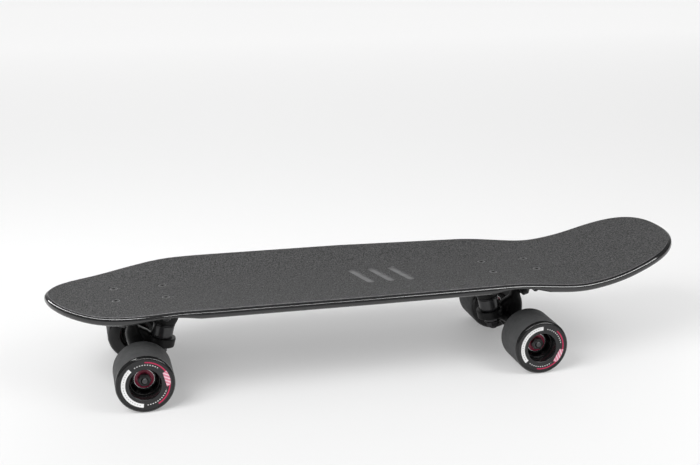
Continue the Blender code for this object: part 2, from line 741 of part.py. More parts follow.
def lock_nut(across, low, high, collar, place=Matrix.Identity(4)):
    """A hexagonal nut that tapers to its collar at the low end."""
    corner = across / 2 / math.cos(math.pi / 6)
    profile = [(0.0, low), (0.42 * across, low), (corner, low + collar), (corner, high), (0.0, high)]
    return turned(profile, 6, place)


def kingpin_nut_mesh():
    high = KINGPIN_NUT_AT + KINGPIN_NUT_HEIGHT
    body = lock_nut(KINGPIN_NUT_ACROSS, KINGPIN_NUT_AT, high, KINGPIN_NUT_COLLAR, ALONG_KINGPIN)
    bore = KINGPIN_DIAMETER / 2 + SEAT_GAP
    hole = rod(bore, KINGPIN_END, 0.0, ROUND_SIDES, ALONG_KINGPIN)
    zinc = finish("kingpin nut zinc", (0.20, 0.20, 0.205), 0.35, 1.0)
    return shaped("kingpin_nut", body, zinc, cut=[hole])


def bushing_mesh(name, profile):
    urethane = finish(name + " urethane", (0.015, 0.015, 0.016), 0.35)
    return mesh_from(name, turned(profile, ROUND_SIDES, ALONG_KINGPIN), urethane)


def boardside_bushing_mesh():
    inner = KINGPIN_DIAMETER / 2 + SEAT_GAP
    low = BUSHING_SEAT
    high = BUSHING_SEAT + BOARD_BUSHING_LENGTH
    bulge = BUSHING_RADIUS
    edge = BUSHING_RADIUS - 0.0007
    profile = [(inner, low), (edge, low), (bulge, low + 0.0012), (bulge, high - 0.0012)]
    profile += [(edge, high), (inner, high)]
    return bushing_mesh("boardside_bushing", profile)


def roadside_bushing_mesh():
    inner = KINGPIN_DIAMETER / 2 + SEAT_GAP
    high = -BUSHING_SEAT
    low = high - ROAD_BUSHING_LENGTH
    profile = [(inner, low), (ROAD_BUSHING_BOTTOM - 0.0006, low), (ROAD_BUSHING_BOTTOM, low + 0.0010)]
    profile += [(ROAD_BUSHING_TOP, high - 0.0022), (ROAD_BUSHING_TOP, high), (inner, high)]
    return bushing_mesh("roadside_bushing", profile)


def washer_mesh(name, low, radius):
    """A steel washer on the kingpin, with its rim broken on both faces."""
    inner = KINGPIN_DIAMETER / 2 + SEAT_GAP
    high = low + WASHER_THICKNESS
    rim = radius - WASHER_EDGE
    profile = [(inner, low), (rim, low), (radius, low + WASHER_EDGE)]
    profile += [(radius, high - WASHER_EDGE), (rim, high), (inner, high)]
    steel = finish(name + " steel", (0.10, 0.10, 0.105), 0.4, 1.0)
    return mesh_from(name, turned(profile, ROUND_SIDES, ALONG_KINGPIN), steel)


def deck_bolt_mesh():
    """A countersunk bolt and its lock nut, which hold the deck, the riser and the baseplate."""
    nut_top = PLATE_UNDER - SEAT_GAP
    nut_low = nut_top - LOCK_NUT_HEIGHT
    profile = bolt_profile(0.0, nut_low - BOLT_END_PROUD)
    profile.append((0.0, profile[-1][1]))
    bolt = turned(profile, SMALL_SIDES)
    nut = lock_nut(LOCK_NUT_ACROSS, nut_low, nut_top, LOCK_NUT_COLLAR)
    zinc = finish("deck bolt steel", (0.25, 0.25, 0.26), 0.35, 1.0)
    return shaped("deck_bolt", bolt, zinc, added=[nut])


# Hanger, drawn in the same truck coordinates


def hanger_mesh():
    half = HANGER_WIDTH / 2
    end = BEAM_END_RADIUS
    middle = BEAM_MIDDLE_RADIUS
    beam = turned(
        [
            (0.0, -half),
            (end - 0.0008, -half),
            (end, -half + 0.0008),
            (end + 0.0004, -0.6 * half),
            (middle, -0.25 * half),
            (middle, 0.25 * half),
            (end + 0.0004, 0.6 * half),
            (end, half - 0.0008),
            (end - 0.0008, half),
            (0.0, half),
        ],
        ROUND_SIDES,
        ALONG_AXLE,
    )
    pin_root = ALONG_STEER @ Vector((0.0, 0.0, -CUP_MOUTH - 0.0024))
    neck = loft(
        [
            ellipse_section(AXLE_CENTRE + Vector((out, 0.0, up)), tilt, half_x, half_y, 2.3)
            for out, up, tilt, half_x, half_y in (
                (0.0006, 0.0015, 0.00, 0.0090, 0.0340),
                (0.0018, 0.0080, 0.05, 0.0094, 0.0255),
                (0.0031, 0.0150, 0.12, 0.0094, 0.0165),
                (0.0050, 0.0220, 0.25, 0.0088, 0.0112),
                (0.0060, 0.0280, 0.45, 0.0080, 0.0084),
            )
        ]
        + [
            ellipse_section(pin_root, STEER_TILT, PIVOT_PIN_RADIUS + 0.0012, PIVOT_PIN_RADIUS + 0.0012)
        ]
    )
    reach = PIVOT_PIN_REACH
    pin = turned(
        [
            (0.0, -CUP_MOUTH - 0.0060),
            (PIVOT_PIN_RADIUS, -CUP_MOUTH - 0.0060),
            (PIVOT_PIN_RADIUS, reach - 0.0022),
            (0.58 * PIVOT_PIN_RADIUS, reach),
            (0.0, reach),
        ],
        ROUND_SIDES,
        ALONG_STEER,
    )
    crest = crest_plate()
    ring = rod(RING_RADIUS, -RING_HEIGHT / 2, RING_HEIGHT / 2, FINE_SIDES, ALONG_KINGPIN)
    to_beam = AXLE_CENTRE + Vector((0.0, 0.0, 0.0030)) - RING_CENTRE
    lean = math.atan2(to_beam.x, to_beam.z)
    yoke = loft(
        [
            ellipse_section(
                RING_CENTRE + share * to_beam, lean, half_thick, half_wide, power
            )
            for share, half_thick, half_wide, power in (
                (0.20, 0.0046, 0.0158, 3.0),
                (0.50, 0.0052, 0.0172, 3.0),
                (0.78, 0.0068, 0.0225, 2.8),
                (1.00, 0.0080, 0.0280, 2.6),
            )
        ]
    )
    seat = BUSHING_RADIUS + BUSHING_SEAT_CLEARANCE
    road = ROAD_BUSHING_TOP + BUSHING_SEAT_CLEARANCE
    board_seat = rod(seat, RING_WEB / 2, BOSS_AT, ROUND_SIDES, ALONG_KINGPIN)
    pocket_rim = -RING_HEIGHT / 2 - (ROAD_POCKET_RADIUS - road)
    road_seat = turned(
        [
            (0.0, -BOSS_AT),
            (ROAD_POCKET_RADIUS, -BOSS_AT),
            (ROAD_POCKET_RADIUS, pocket_rim),
            (road, -RING_HEIGHT / 2),
            (road, -RING_WEB / 2),
            (0.0, -RING_WEB / 2),
        ],
        ROUND_SIDES,
        ALONG_KINGPIN,
    )
    ring_hole = rod(RING_HOLE_RADIUS, -RING_HEIGHT, RING_HEIGHT, ROUND_SIDES, ALONG_KINGPIN)
    axle_hole = rod(AXLE_DIAMETER / 2 + SEAT_GAP, -1.1 * half, 1.1 * half, SMALL_SIDES, ALONG_AXLE)
    cast = finish("black cast hanger", (0.011, 0.011, 0.012), 0.42, 0.0)
    return shaped(
        "hanger",
        beam,
        cast,
        added=[neck, pin, crest, ring, yoke],
        cut=[board_seat, road_seat, ring_hole, axle_hole],
    )


def crest_plate():
    """The rib that climbs from the ring to the neck, as a bevelled plate on the middle plane."""
    side = [
        (-0.0150, 0.0080),
        (-0.0105, 0.0195),
        (-0.0070, 0.0222),
        (-0.0030, 0.0242),
        (0.0010, 0.0270),
        (0.0045, 0.0305),
        (0.0095, 0.0330),
        (0.0120, 0.0240),
        (0.0080, 0.0080),
        (0.0020, 0.0010),
        (-0.0080, 0.0020),
    ]
    half = CREST_WIDTH / 2
    bm = loft([[Vector((x, y, AXLE_Z + z)) for x, z in side] for y in (-half, half)])
    rim = [edge for edge in bm.edges if abs(edge.verts[0].co.y - edge.verts[1].co.y) < 1e-9]
    bmesh.ops.bevel(bm, geom=rim, offset=0.0016, segments=2, profile=0.5, affect="EDGES", material=-1)
    bmesh.ops.recalc_face_normals(bm, faces=bm.faces)
    return bm


def axle_mesh():
    """The axle with the speed ring that each inner bearing runs against."""
    radius = AXLE_DIAMETER / 2
    collar = SPEED_RING_RADIUS
    low = SPEED_RING_Y
    high = SPEED_RING_Y + SPEED_RING_THICKNESS
    side = [(collar, low), (collar, high), (radius, high), (radius, AXLE_END_Y - 0.0006)]
    side += [(radius - 0.0006, AXLE_END_Y), (0.0, AXLE_END_Y)]
    profile = [(r, -y) for r, y in reversed(side)] + [(radius, -low), (radius, low)] + side
    steel = finish("axle steel", (0.30, 0.30, 0.31), 0.3, 1.0)
    return mesh_from("axle", turned(profile, SMALL_SIDES, ALONG_AXLE), steel)


# Wheel pieces, drawn about local Y with the outward side at +Y and 0 midway between the bearings


def tyre_mesh():
    radius = WHEEL_RADIUS
    bore = WHEEL_BORE_RADIUS
    out = WHEEL_OUTER_FACE
    into = WHEEL_INNER_FACE
    lip = WHEEL_OUTER_LIP
    profile = [
        (bore, into + 0.0012),
        (bore + 0.0014, into),
        (radius - WHEEL_INNER_LIP, into),
        (radius - 0.28 * WHEEL_INNER_LIP, into + 0.28 * WHEEL_INNER_LIP),
        (radius, into + WHEEL_INNER_LIP),
        (radius, out - lip),
        (radius - 0.29 * (radius - WHEEL_FACE_RADIUS), out - 0.29 * lip),
        (WHEEL_FACE_RADIUS, out),
        (bore + 0.0010, out),
        (bore, out - 0.0010),
    ]
    urethane = finish("tyre urethane", (0.075, 0.077, 0.080), 0.6)
    return mesh_from("tyre", turned(profile, WHEEL_SIDES, Z_TO_Y, on_flat=True), urethane)


def core_mesh():
    """The hub that holds both bearings, with a drum, a web and spokes on its outer side."""
    seat = BEARING_RADIUS + SEAT_GAP
    barrel = seat + CORE_WALL
    drum = WHEEL_BORE_RADIUS - SEAT_GAP
    inner_drum = drum - CORE_WALL
    shoulder = SPACER_LENGTH / 2
    face = shoulder + SEAT_GAP + BEARING_WIDTH
    stop = BEARING_RADIUS - 0.0022
    body = turned(
        [
            (seat, -face - 0.0006),
            (barrel, -face - 0.0006),
            (inner_drum, -CORE_DRUM_INNER),
            (drum, -CORE_DRUM_INNER),
            (drum, CORE_DRUM_OUTER),
            (inner_drum, CORE_DRUM_OUTER),
            (inner_drum, face + 0.0030),
            (barrel, face + 0.0008),
            (seat, face + 0.0008),
            (seat, shoulder),
            (stop, shoulder),
            (stop, -shoulder),
            (seat, -shoulder),
        ],
        ROUND_SIDES,
        Z_TO_Y,
    )
    pockets = []
    spoke_turn = SPOKE_WIDTH / (0.5 * (barrel + inner_drum))
    pitch = 2 * math.pi / CORE_SPOKES
    for i in range(CORE_SPOKES):
        start = i * pitch + spoke_turn / 2
        sweep = pitch - spoke_turn
        points = []
        for radius, turns in ((inner_drum - 0.0002, (0, 1)), (barrel + 0.0002, (1, 0))):
            for turn in turns:
                angle = start + sweep * turn
                points.append((radius * math.cos(angle), radius * math.sin(angle)))
        pocket = prism(points, CORE_WEB, face + 0.02)
        bmesh.ops.transform(pocket, matrix=Z_TO_Y, verts=pocket.verts)
        pockets.append(pocket)
    plastic = finish("core plastic", (0.008, 0.008, 0.009), 0.15)
    return shaped("core", body, plastic, cut=pockets)


def bearing_mesh(name, side):
    """A shielded ball bearing whose recessed shield faces side along Y."""
    low = SPACER_LENGTH / 2 + SEAT_GAP
    high = low + BEARING_WIDTH
    bore = AXLE_DIAMETER / 2 + SEAT_GAP
    profile = [
        (bore, low),
        (BEARING_RADIUS, low),
        (BEARING_RADIUS, high),
        (BEARING_RADIUS - BEARING_RIM, high),
        (BEARING_RADIUS - BEARING_RIM, high - SHIELD_RECESS),
        (bore, high - SHIELD_RECESS),
    ]
    turn = Matrix.Identity(4) if side > 0 else Matrix.Rotation(math.pi, 4, "X")
    steel = finish(name + " steel", (0.42, 0.05, 0.10), 0.3, 0.6)
    return mesh_from(name, turned(profile, ROUND_SIDES, Z_TO_Y @ turn), steel)


def axle_ring(name, inner, outer, start, length, colour, metallic):
    """A plain sleeve on the axle, from start outwards along +Y."""
    steel = finish(name + " metal", colour, 0.3, metallic)
    return mesh_from(name, tube(inner, outer, start, start + length, SMALL_SIDES, Z_TO_Y), steel)


def axle_nut_mesh():
    start = AXLE_NUT_Y - HUB_Y
    end = start + AXLE_NUT_HEIGHT
    turn = Matrix.Rotation(math.pi, 4, "X")
    body = lock_nut(AXLE_NUT_ACROSS, -end, -start, AXLE_NUT_COLLAR, Z_TO_Y @ turn)
    hole = rod(AXLE_DIAMETER / 2 + SEAT_GAP, 0.0, 2 * end, SMALL_SIDES, Z_TO_Y)
    zinc = finish("axle nut zinc", (0.42, 0.42, 0.43), 0.35, 1.0)
    return shaped("axle_nut", body, zinc, cut=[hole])


def build_truck(end, x, turn, meshes):
    """Places one truck with its two wheels. Outboard is +X in the truck's own frame."""
    truck = empty(f"{end}_truck", (x, 0.0, 0.0), turn=turn)
    for part in (
        "riser",
        "baseplate",
        "pivot_cup",
        "kingpin",
        "kingpin_nut",
        "boardside_bushing",
        "roadside_bushing",
        "boardside_washer",
        "roadside_washer",
    ):
        place_object(f"{end}_{part}", meshes[part], truck)
    for number, (dx, dy) in enumerate(BOLT_PLACES, 1):
        place_object(f"{end}_deck_bolt_{number}", meshes["deck_bolt"], truck, (dx, dy, 0.0))
    steer = empty(f"{end}_steering_axis", RING_CENTRE, truck)
    for part in ("hanger", "axle"):
        place_object(f"{end}_{part}", meshes[part], steer, -RING_CENTRE)
    for side in (-1, 1):
        world_side = side if turn == 0.0 else -side
        wheel = f"{end}_{'left' if world_side < 0 else 'right'}"
        hub_place = AXLE_CENTRE + Vector((0.0, side * HUB_Y, 0.0)) - RING_CENTRE
        fixed = empty(f"{wheel}_axle_end", hub_place, steer, turn=0.0 if side > 0 else math.pi)
        for part in ("bearing_spacer", "speed_ring", "axle_nut"):
            place_object(f"{wheel}_{part}", meshes[part], fixed)
        hub = empty(f"{wheel}_hub", hub_place, steer, turn=0.0 if side > 0 else math.pi)
        for part in ("tyre", "core", "inner_bearing", "outer_bearing"):
            place_object(f"{wheel}_{part}", meshes[part], hub)


def build():
    for obj in list(bpy.data.objects):
        bpy.data.objects.remove(obj, do_unlink=True)
    steel = (0.35, 0.35, 0.36)
    axle_bore = AXLE_DIAMETER / 2 + SEAT_GAP
    meshes = {
        "riser": riser_mesh(),
        "baseplate": baseplate_mesh(),
        "pivot_cup": pivot_cup_mesh(),
        "kingpin": kingpin_mesh(),
        "kingpin_nut": kingpin_nut_mesh(),
        "boardside_bushing": boardside_bushing_mesh(),
        "roadside_bushing": roadside_bushing_mesh(),
        "boardside_washer": washer_mesh("boardside_washer", BOARD_WASHER_AT, BOARD_WASHER_RADIUS),
        "roadside_washer": washer_mesh("roadside_washer", ROAD_WASHER_AT, ROAD_WASHER_RADIUS),
        "deck_bolt": deck_bolt_mesh(),
        "hanger": hanger_mesh(),
        "axle": axle_mesh(),
        "tyre": tyre_mesh(),
        "core": core_mesh(),
        "inner_bearing": bearing_mesh("inner_bearing", -1),
        "outer_bearing": bearing_mesh("outer_bearing", 1),
        "bearing_spacer": axle_ring(
            "bearing_spacer", axle_bore, SPACER_RADIUS, SPACER_Y - HUB_Y, SPACER_LENGTH, steel, 1.0
        ),
        "speed_ring": axle_ring(
            "speed_ring",
            axle_bore,
            SPEED_RING_RADIUS,
            OUTER_SPEED_RING_Y - HUB_Y,
            SPEED_RING_THICKNESS,
            steel,
            1.0,
        ),
        "axle_nut": axle_nut_mesh(),
    }
    place_object("deck", deck_mesh())
    place_object("grip_tape", grip_mesh())
    build_truck("front", FRONT_X, math.pi, meshes)
    build_truck("rear", REAR_X, 0.0, meshes)


build()
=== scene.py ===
# %% [markdown]
# # A black cruiser skateboard, dressed for the studio
# A cruiser is a pressed wooden deck on two steering trucks and four soft wheels. The solid model of
# it already holds every size, so this script only makes the surfaces that the eye meets: the rounded
# edge of the deck, the grit on top, the printed wheels, and the castings between them.
#
# The solid model comes in as a fixed frame. Each piece made here sits where the frame says, and rides
# on one of its bodies, so that it turns and leans with it.

# %% Load the frame and keep its box
import json
import math

import bmesh
import bpy
from mathutils import Matrix, Vector


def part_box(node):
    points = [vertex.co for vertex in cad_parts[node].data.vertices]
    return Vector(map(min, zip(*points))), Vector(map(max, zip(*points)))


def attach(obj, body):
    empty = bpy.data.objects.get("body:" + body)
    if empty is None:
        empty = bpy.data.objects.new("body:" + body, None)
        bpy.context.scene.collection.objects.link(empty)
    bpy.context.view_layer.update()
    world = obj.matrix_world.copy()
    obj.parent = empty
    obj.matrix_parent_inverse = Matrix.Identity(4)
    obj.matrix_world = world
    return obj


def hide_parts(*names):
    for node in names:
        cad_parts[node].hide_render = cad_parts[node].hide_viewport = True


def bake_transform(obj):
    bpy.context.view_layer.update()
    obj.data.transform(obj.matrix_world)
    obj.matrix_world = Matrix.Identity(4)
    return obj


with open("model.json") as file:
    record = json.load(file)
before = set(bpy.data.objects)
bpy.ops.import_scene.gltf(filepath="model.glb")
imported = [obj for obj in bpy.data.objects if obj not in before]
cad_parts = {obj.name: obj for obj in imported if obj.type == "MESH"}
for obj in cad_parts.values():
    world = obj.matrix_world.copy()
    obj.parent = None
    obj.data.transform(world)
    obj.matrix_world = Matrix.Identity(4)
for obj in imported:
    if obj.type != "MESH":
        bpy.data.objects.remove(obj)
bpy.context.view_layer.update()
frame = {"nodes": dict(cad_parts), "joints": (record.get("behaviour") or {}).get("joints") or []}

# %% [markdown]
# ## Where the trucks and wheels are
# A truck is drawn once, in its own coordinates: +X points outboard, towards its end of the board, and
# zero is the middle of its four deck bolts. The front truck is that drawing turned half round. The
# bolts' boxes give both places, and the joints give the hubs and the steering axes.

# %% Read the places from the frame
MM = 0.001
ENDS, SIDES, BOLTS = ("front", "rear"), ("left", "right"), (1, 2, 3, 4)
pieces_made = []

joint_at = {joint["name"]: Vector(joint["pos_m"]) for joint in frame["joints"]}
joint_axis = {joint["name"]: Vector(joint["axis"]).normalized() for joint in frame["joints"]}


def middle_x(*names):
    """The middle of several nodes along X."""
    boxes = [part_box(name) for name in names]
    return (min(low.x for low, _ in boxes) + max(high.x for _, high in boxes)) / 2


truck_x = {end: middle_x(*[f"{end}_deck_bolt_{number}" for number in BOLTS]) for end in ENDS}
truck_place = {
    "front": Matrix.Translation((truck_x["front"], 0, 0)) @ Matrix.Rotation(math.pi, 4, "Z"),
    "rear": Matrix.Translation((truck_x["rear"], 0, 0)),
}
bolt_at = {}
for end in ENDS:
    for number in BOLTS:
        low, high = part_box(f"{end}_deck_bolt_{number}")
        bolt_at[end, number] = Vector(((low.x + high.x) / 2, (low.y + high.y) / 2, 0.0))
print("bolt patterns at x in mm:", {end: round(x / MM, 1) for end, x in truck_x.items()})

# %% [markdown]
# ## The camera
# The photograph was taken with a moderate long lens from a little above the deck, on the near side of
# the nose. These values were fitted to the deck bolts and the wheels in the picture.

# %% Place the camera
CAMERA_PLACE = Vector((-0.3362, -1.2538, 0.5257))
CAMERA_TURN = [math.radians(angle) for angle in (73.894, -0.122, -13.968)]
CAMERA_LENS = 60.67


def new_object(name, data):
    """An object in the scene, at the origin and unturned."""
    made = bpy.data.objects.new(name, data)
    bpy.context.scene.collection.objects.link(made)
    return made


camera_data = bpy.data.cameras.new("camera")
camera_data.lens = CAMERA_LENS
camera_data.sensor_width = 36.0
camera_data.clip_start = 0.05
camera_data.clip_end = 50.0
camera = new_object("camera", camera_data)
camera.location = CAMERA_PLACE
camera.rotation_euler = CAMERA_TURN
bpy.context.scene.camera = camera
bpy.context.scene.view_settings.view_transform = "Standard"

# %% [markdown]
# ## Node helpers
# Every finish below is a node tree. A few small helpers keep them readable: they add a node with its
# settings and inputs, start a material, link results to its shader, and mix two colours.

# %% Helpers for node trees
def node(tree, kind, inputs=None, **settings):
    """Adds a node. An input is a value, or another node's output to link."""
    made = tree.nodes.new(kind)
    for key, value in settings.items():
        setattr(made, key, value)
    for key, value in (inputs or {}).items():
        if isinstance(value, bpy.types.NodeSocket):
            tree.links.new(value, made.inputs[key])
        else:
            made.inputs[key].default_value = value
    return made


def maths(tree, operation, *values):
    """One Math node, as its output."""
    return node(tree, "ShaderNodeMath", dict(enumerate(values)), operation=operation).outputs[0]


def new_material(name, colour, roughness, metallic=0.0, **sockets):
    """A material with a Principled shader. It returns the material, its tree and its shader."""
    made = bpy.data.materials.new(name)
    made.use_nodes = True
    shader = made.node_tree.nodes["Principled BSDF"]
    plain = {"Base Color": (*colour, 1), "Roughness": roughness, "Metallic": metallic, **sockets}
    for key, value in plain.items():
        shader.inputs[key.replace("_", " ")].default_value = value
    return made, made.node_tree, shader


def wire(shader, **results):
    """Links results to the shader's sockets."""
    for key, result in results.items():
        shader.id_data.links.new(result, shader.inputs[key.replace("_", " ")])


def mixed(tree, mask, first, second):
    """A colour between two, as an output. A colour is three numbers or another output."""
    made = node(tree, "ShaderNodeMix", {"Factor": mask}, data_type="RGBA")
    for key, value in (("A", first), ("B", second)):
        socket = [socket for socket in made.inputs if socket.name == key and socket.type == "RGBA"][0]
        if isinstance(value, bpy.types.NodeSocket):
            tree.links.new(value, socket)
        else:
            socket.default_value = (*value, 1)
    return [socket for socket in made.outputs if socket.type == "RGBA"][0]


# %% [markdown]
# ## Shared effects
# Real surfaces are never even. Two effects come back in nearly every finish, so each is a node group
# that is built once: `unevenness` puts out a soft mask that shifts colour and roughness, and
# `fine relief` puts out a normal with small bumps, for paint, grit and cast metal.

# %% Build the two shared groups
def new_group(name, numbers, output, kind):
    """A shader group with a noise in it: the group, its inputs, the noise and its one result."""
    group = bpy.data.node_groups.new(name, "ShaderNodeTree")
    group.interface.new_socket("Vector", in_out="INPUT", socket_type="NodeSocketVector")
    for key, value in numbers.items():
        socket = group.interface.new_socket(key, in_out="INPUT", socket_type="NodeSocketFloat")
        socket.default_value = value
    group.interface.new_socket(output, in_out="OUTPUT", socket_type=kind)
    given = group.nodes.new("NodeGroupInput").outputs
    noise = node(group, "ShaderNodeTexNoise", {key: given[key] for key in ("Vector", "Scale", "Detail")})
    return group, given, noise.outputs["Fac"], group.nodes.new("NodeGroupOutput").inputs[output]


unevenness, given, cloud, result = new_group(
    "unevenness", {"Scale": 100.0, "Detail": 3.0, "Low": 0.0, "High": 1.0}, "Value", "NodeSocketFloat"
)
limits = {"From Min": 0.3, "From Max": 0.7, "To Min": given["Low"], "To Max": given["High"]}
spread = node(unevenness, "ShaderNodeMapRange", {"Value": cloud, **limits})
unevenness.links.new(spread.outputs["Result"], result)

fine_relief, given, cloud, result = new_group(
    "fine relief", {"Scale": 500.0, "Detail": 2.0, "Strength": 0.2, "Height": 0.0002}, "Normal",
    "NodeSocketVector",
)
inputs = {"Strength": given["Strength"], "Distance": given["Height"], "Height": cloud}
fine_relief.links.new(node(fine_relief, "ShaderNodeBump", inputs).outputs["Normal"], result)
print("groups:", [group.name for group in bpy.data.node_groups])

# %% [markdown]
# Most finishes are one colour under uneven gloss and small bumps, and many shift in shade as well, so
# one function makes them all. Grain that runs one way, as in wood, comes from stretching the place
# that the bumps and the shade are read at.

# %% One function for most finishes
def uneven(tree, vector, scale, low, high, detail=3.0):
    """Places the unevenness group and returns its mask."""
    inputs = {"Vector": vector, "Scale": scale, "Detail": detail, "Low": low, "High": high}
    return node(tree, "ShaderNodeGroup", inputs, node_tree=unevenness).outputs["Value"]


def relief(tree, vector, scale, strength, height, detail=2.0):
    """Places the fine relief group and returns its normal."""
    inputs = {"Vector": vector, "Scale": scale, "Detail": detail, "Strength": strength, "Height": height}
    return node(tree, "ShaderNodeGroup", inputs, node_tree=fine_relief).outputs["Normal"]


def object_place(tree):
    """The Object coordinates of the piece, as an output."""
    return node(tree, "ShaderNodeTexCoord").outputs["Object"]


def finish(name, colour, roughness, gloss, bumps, shade=None, stretch=None, **sockets):
    """A material of one colour. gloss is a noise's scale and how far it moves the roughness down and
    up. bumps are a scale, strength, height and detail. shade is a scale, a detail and two multiples
    of the colour, and stretch the scale along each axis that bumps and shade are read at."""
    made, tree, shader = new_material(name, colour, roughness, **sockets)
    place = grain = object_place(tree)
    if stretch:
        grain = node(tree, "ShaderNodeMapping", {"Vector": place, "Scale": stretch}).outputs["Vector"]
    scale, down, up = gloss
    wire(shader, Roughness=uneven(tree, place, scale, roughness - down, roughness + up))
    wire(shader, Normal=relief(tree, grain, *bumps))
    if shade:
        scale, detail, *shares = shade
        colours = [tuple(share * part for part in colour) for share in shares]
        wire(shader, Base_Color=mixed(tree, uneven(tree, grain, scale, 0.0, 1.0, detail), *colours))
    return made


# %% [markdown]
# ## Making meshes
# Most of this object is either turned, like the wheels and nuts, or drawn out from one outline to the
# next, like the deck and the castings. `turned` spins a profile, and `drawn` extrudes a loop of
# vertices through a row of outlines, as a loft does. Both start from a few vertices and let Blender's
# own operators make the faces.

# %% Helpers for meshes
def healed(bm):
    """Merges vertices in the same place and turns all faces outwards."""
    bmesh.ops.remove_doubles(bm, verts=bm.verts, dist=1e-6)
    bmesh.ops.recalc_face_normals(bm, faces=bm.faces)


def turned(profile, steps, place=Matrix.Identity(4)):
    """Spins (radius, height) points about local Z. Ends on the axis close a solid, others a ring."""
    bm = bmesh.new()
    verts = [bm.verts.new((radius, 0, height)) for radius, height in profile]
    edges = [bm.edges.new(pair) for pair in zip(verts, verts[1:])]
    if profile[0][0] > 0 or profile[-1][0] > 0:
        edges.append(bm.edges.new((verts[-1], verts[0])))
    bmesh.ops.spin(
        bm, geom=verts + edges, cent=(0, 0, 0), axis=(0, 0, 1), angle=2 * math.pi, steps=steps,
        use_merge=True,
    )
    healed(bm)
    bmesh.ops.transform(bm, matrix=place, verts=bm.verts)
    return bm


def cylinder(radius, low, high, place=Matrix.Identity(4), steps=64):
    """A solid round bar, to add or to cut."""
    return turned([(0, low), (radius, low), (radius, high), (0, high)], steps, place)


def drawn(outlines, flat_ends=True):
    """Draws a closed loop of vertices out through outlines of as many points each."""
    bm = bmesh.new()
    count = len(outlines[0])
    first = bmesh.ops.create_circle(bm, cap_ends=False, segments=count, radius=1.0)["verts"]
    for vert, point in zip(first, outlines[0]):
        vert.co = point
    loop = first
    for outline in outlines[1:]:
        edges = [bm.edges.get((loop[i - 1], loop[i])) for i in range(count)]
        made = bmesh.ops.extrude_edge_only(bm, edges=edges)["geom"]
        fresh = {v for v in made if isinstance(v, bmesh.types.BMVert)}
        loop = [next(e.other_vert(v) for e in v.link_edges if e.other_vert(v) in fresh) for v in loop]
        for vert, point in zip(loop, outline):
            vert.co = point
    if flat_ends:
        bm.faces.new(first)
        bm.faces.new(loop)
        bmesh.ops.recalc_face_normals(bm, faces=bm.faces)
    else:
        healed(bm)
    return bm


def corner(centre, radius, start, end, steps, tall=None):
    """Points (x, y) round an arc, from one angle to another in degrees. tall makes it an ellipse."""
    points = []
    for step in range(steps + 1):
        turn = math.radians(start + (end - start) * step / steps)
        x, y = radius * math.cos(turn), (tall or radius) * math.sin(turn)
        points.append((centre[0] + x, centre[1] + y))
    return points


def hexagon(across, grow=0.0):
    """The corners of a hexagon that is so wide across its flats."""
    return corner((0, 0), across / 2 / math.cos(math.pi / 6) + grow, 0, 300, 5)


def at_height(points, z):
    """An outline of (x, y) points, lifted to a height."""
    return [Vector((x, y, z)) for x, y in points]


def prism(points, *heights):
    """A solid with the same outline at every height."""
    return drawn([at_height(points, z) for z in heights])


def mirrored(half):
    """The whole section of a turned part that is alike on both sides of height zero."""
    return [(radius, -at) for radius, at in reversed(half) if at > 0] + half


def from_axis(face):
    """How far a face's middle lies from local Z, and its height."""
    middle = face.calc_center_median()
    return math.hypot(middle.x, middle.y), middle.z


# %% [markdown]
# Meshes are copied to their places, painted with material numbers, joined, and fused or cut with exact
# Booleans on temporary objects. A finished mesh becomes a piece that stands for solids of the frame.

# %% Helpers for pieces
SHARP_FROM = math.radians(35.0)


def placed(bm, place):
    """A copy of a mesh, moved to a place."""
    made = bm.copy()
    bmesh.ops.transform(made, matrix=place, verts=made.verts)
    return made


def painted(bm, pick):
    """The mesh, with the material number on each face that pick returns for it."""
    for face in bm.faces:
        face.material_index = pick(face)
    return bm


def mesh_from(bm, name):
    """A mesh with the faces of a bmesh, which is freed."""
    mesh = bpy.data.meshes.new(name)
    bm.to_mesh(mesh)
    bm.free()
    return mesh


def joined(*shapes, renumber=True):
    """Several meshes as one, with their shells still closed. The faces of each take the next material
    number, or keep their own."""
    made = bmesh.new()
    for number, shape in enumerate(shapes):
        mesh = mesh_from(painted(shape, lambda _: number) if renumber else shape, "part")
        made.from_mesh(mesh)
        bpy.data.meshes.remove(mesh)
    return made


def baked(*helpers):
    """The first object with its modifiers applied, as a bmesh. All the objects are removed."""
    bpy.context.view_layer.update()
    graph = bpy.context.evaluated_depsgraph_get()
    made = bpy.data.meshes.new_from_object(helpers[0].evaluated_get(graph))
    result = bmesh.new()
    result.from_mesh(made)
    for mesh in (made, *[helper.data for helper in helpers]):
        bpy.data.meshes.remove(mesh)
    return result


def carved(bm, added=(), cut=()):
    """Fuses shapes to a bmesh and cuts others from it."""
    helpers = [new_object("helper", mesh_from(shape, "helper")) for shape in (bm, *added, *cut)]
    for number, helper in enumerate(helpers[1:]):
        modifier = helpers[0].modifiers.new("shape", "BOOLEAN")
        modifier.operation = "UNION" if number < len(added) else "DIFFERENCE"
        modifier.solver = "EXACT"
        modifier.object = helper
    return baked(*helpers)


def new_piece(name, bm, body, slot, materials, *nodes):
    """Turns a bmesh into a shaded piece that stands for CAD nodes and rides on a body, if named."""
    mesh = mesh_from(bm, name)
    for material in materials:
        mesh.materials.append(material)
    mesh.shade_smooth()
    mesh.set_sharp_from_angle(angle=SHARP_FROM)
    piece = new_object(name, mesh)
    if body:
        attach(piece, body)
    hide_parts(*nodes)
    pieces_made.append((len(mesh.polygons), name))
    return piece


def on_trucks(name, bm, body, slot, materials, cad_name):
    """A copy of a mesh for each truck, riding on the board or on the truck's own body."""
    for end in ENDS:
        owner = f"{end}_truck" if body == "truck" else "board"
        made = placed(bm, truck_place[end])
        new_piece(f"{end}_{name}", made, owner, slot, materials, f"{end}_{cad_name}")
    print(cad_name + ":", pieces_made[-1])


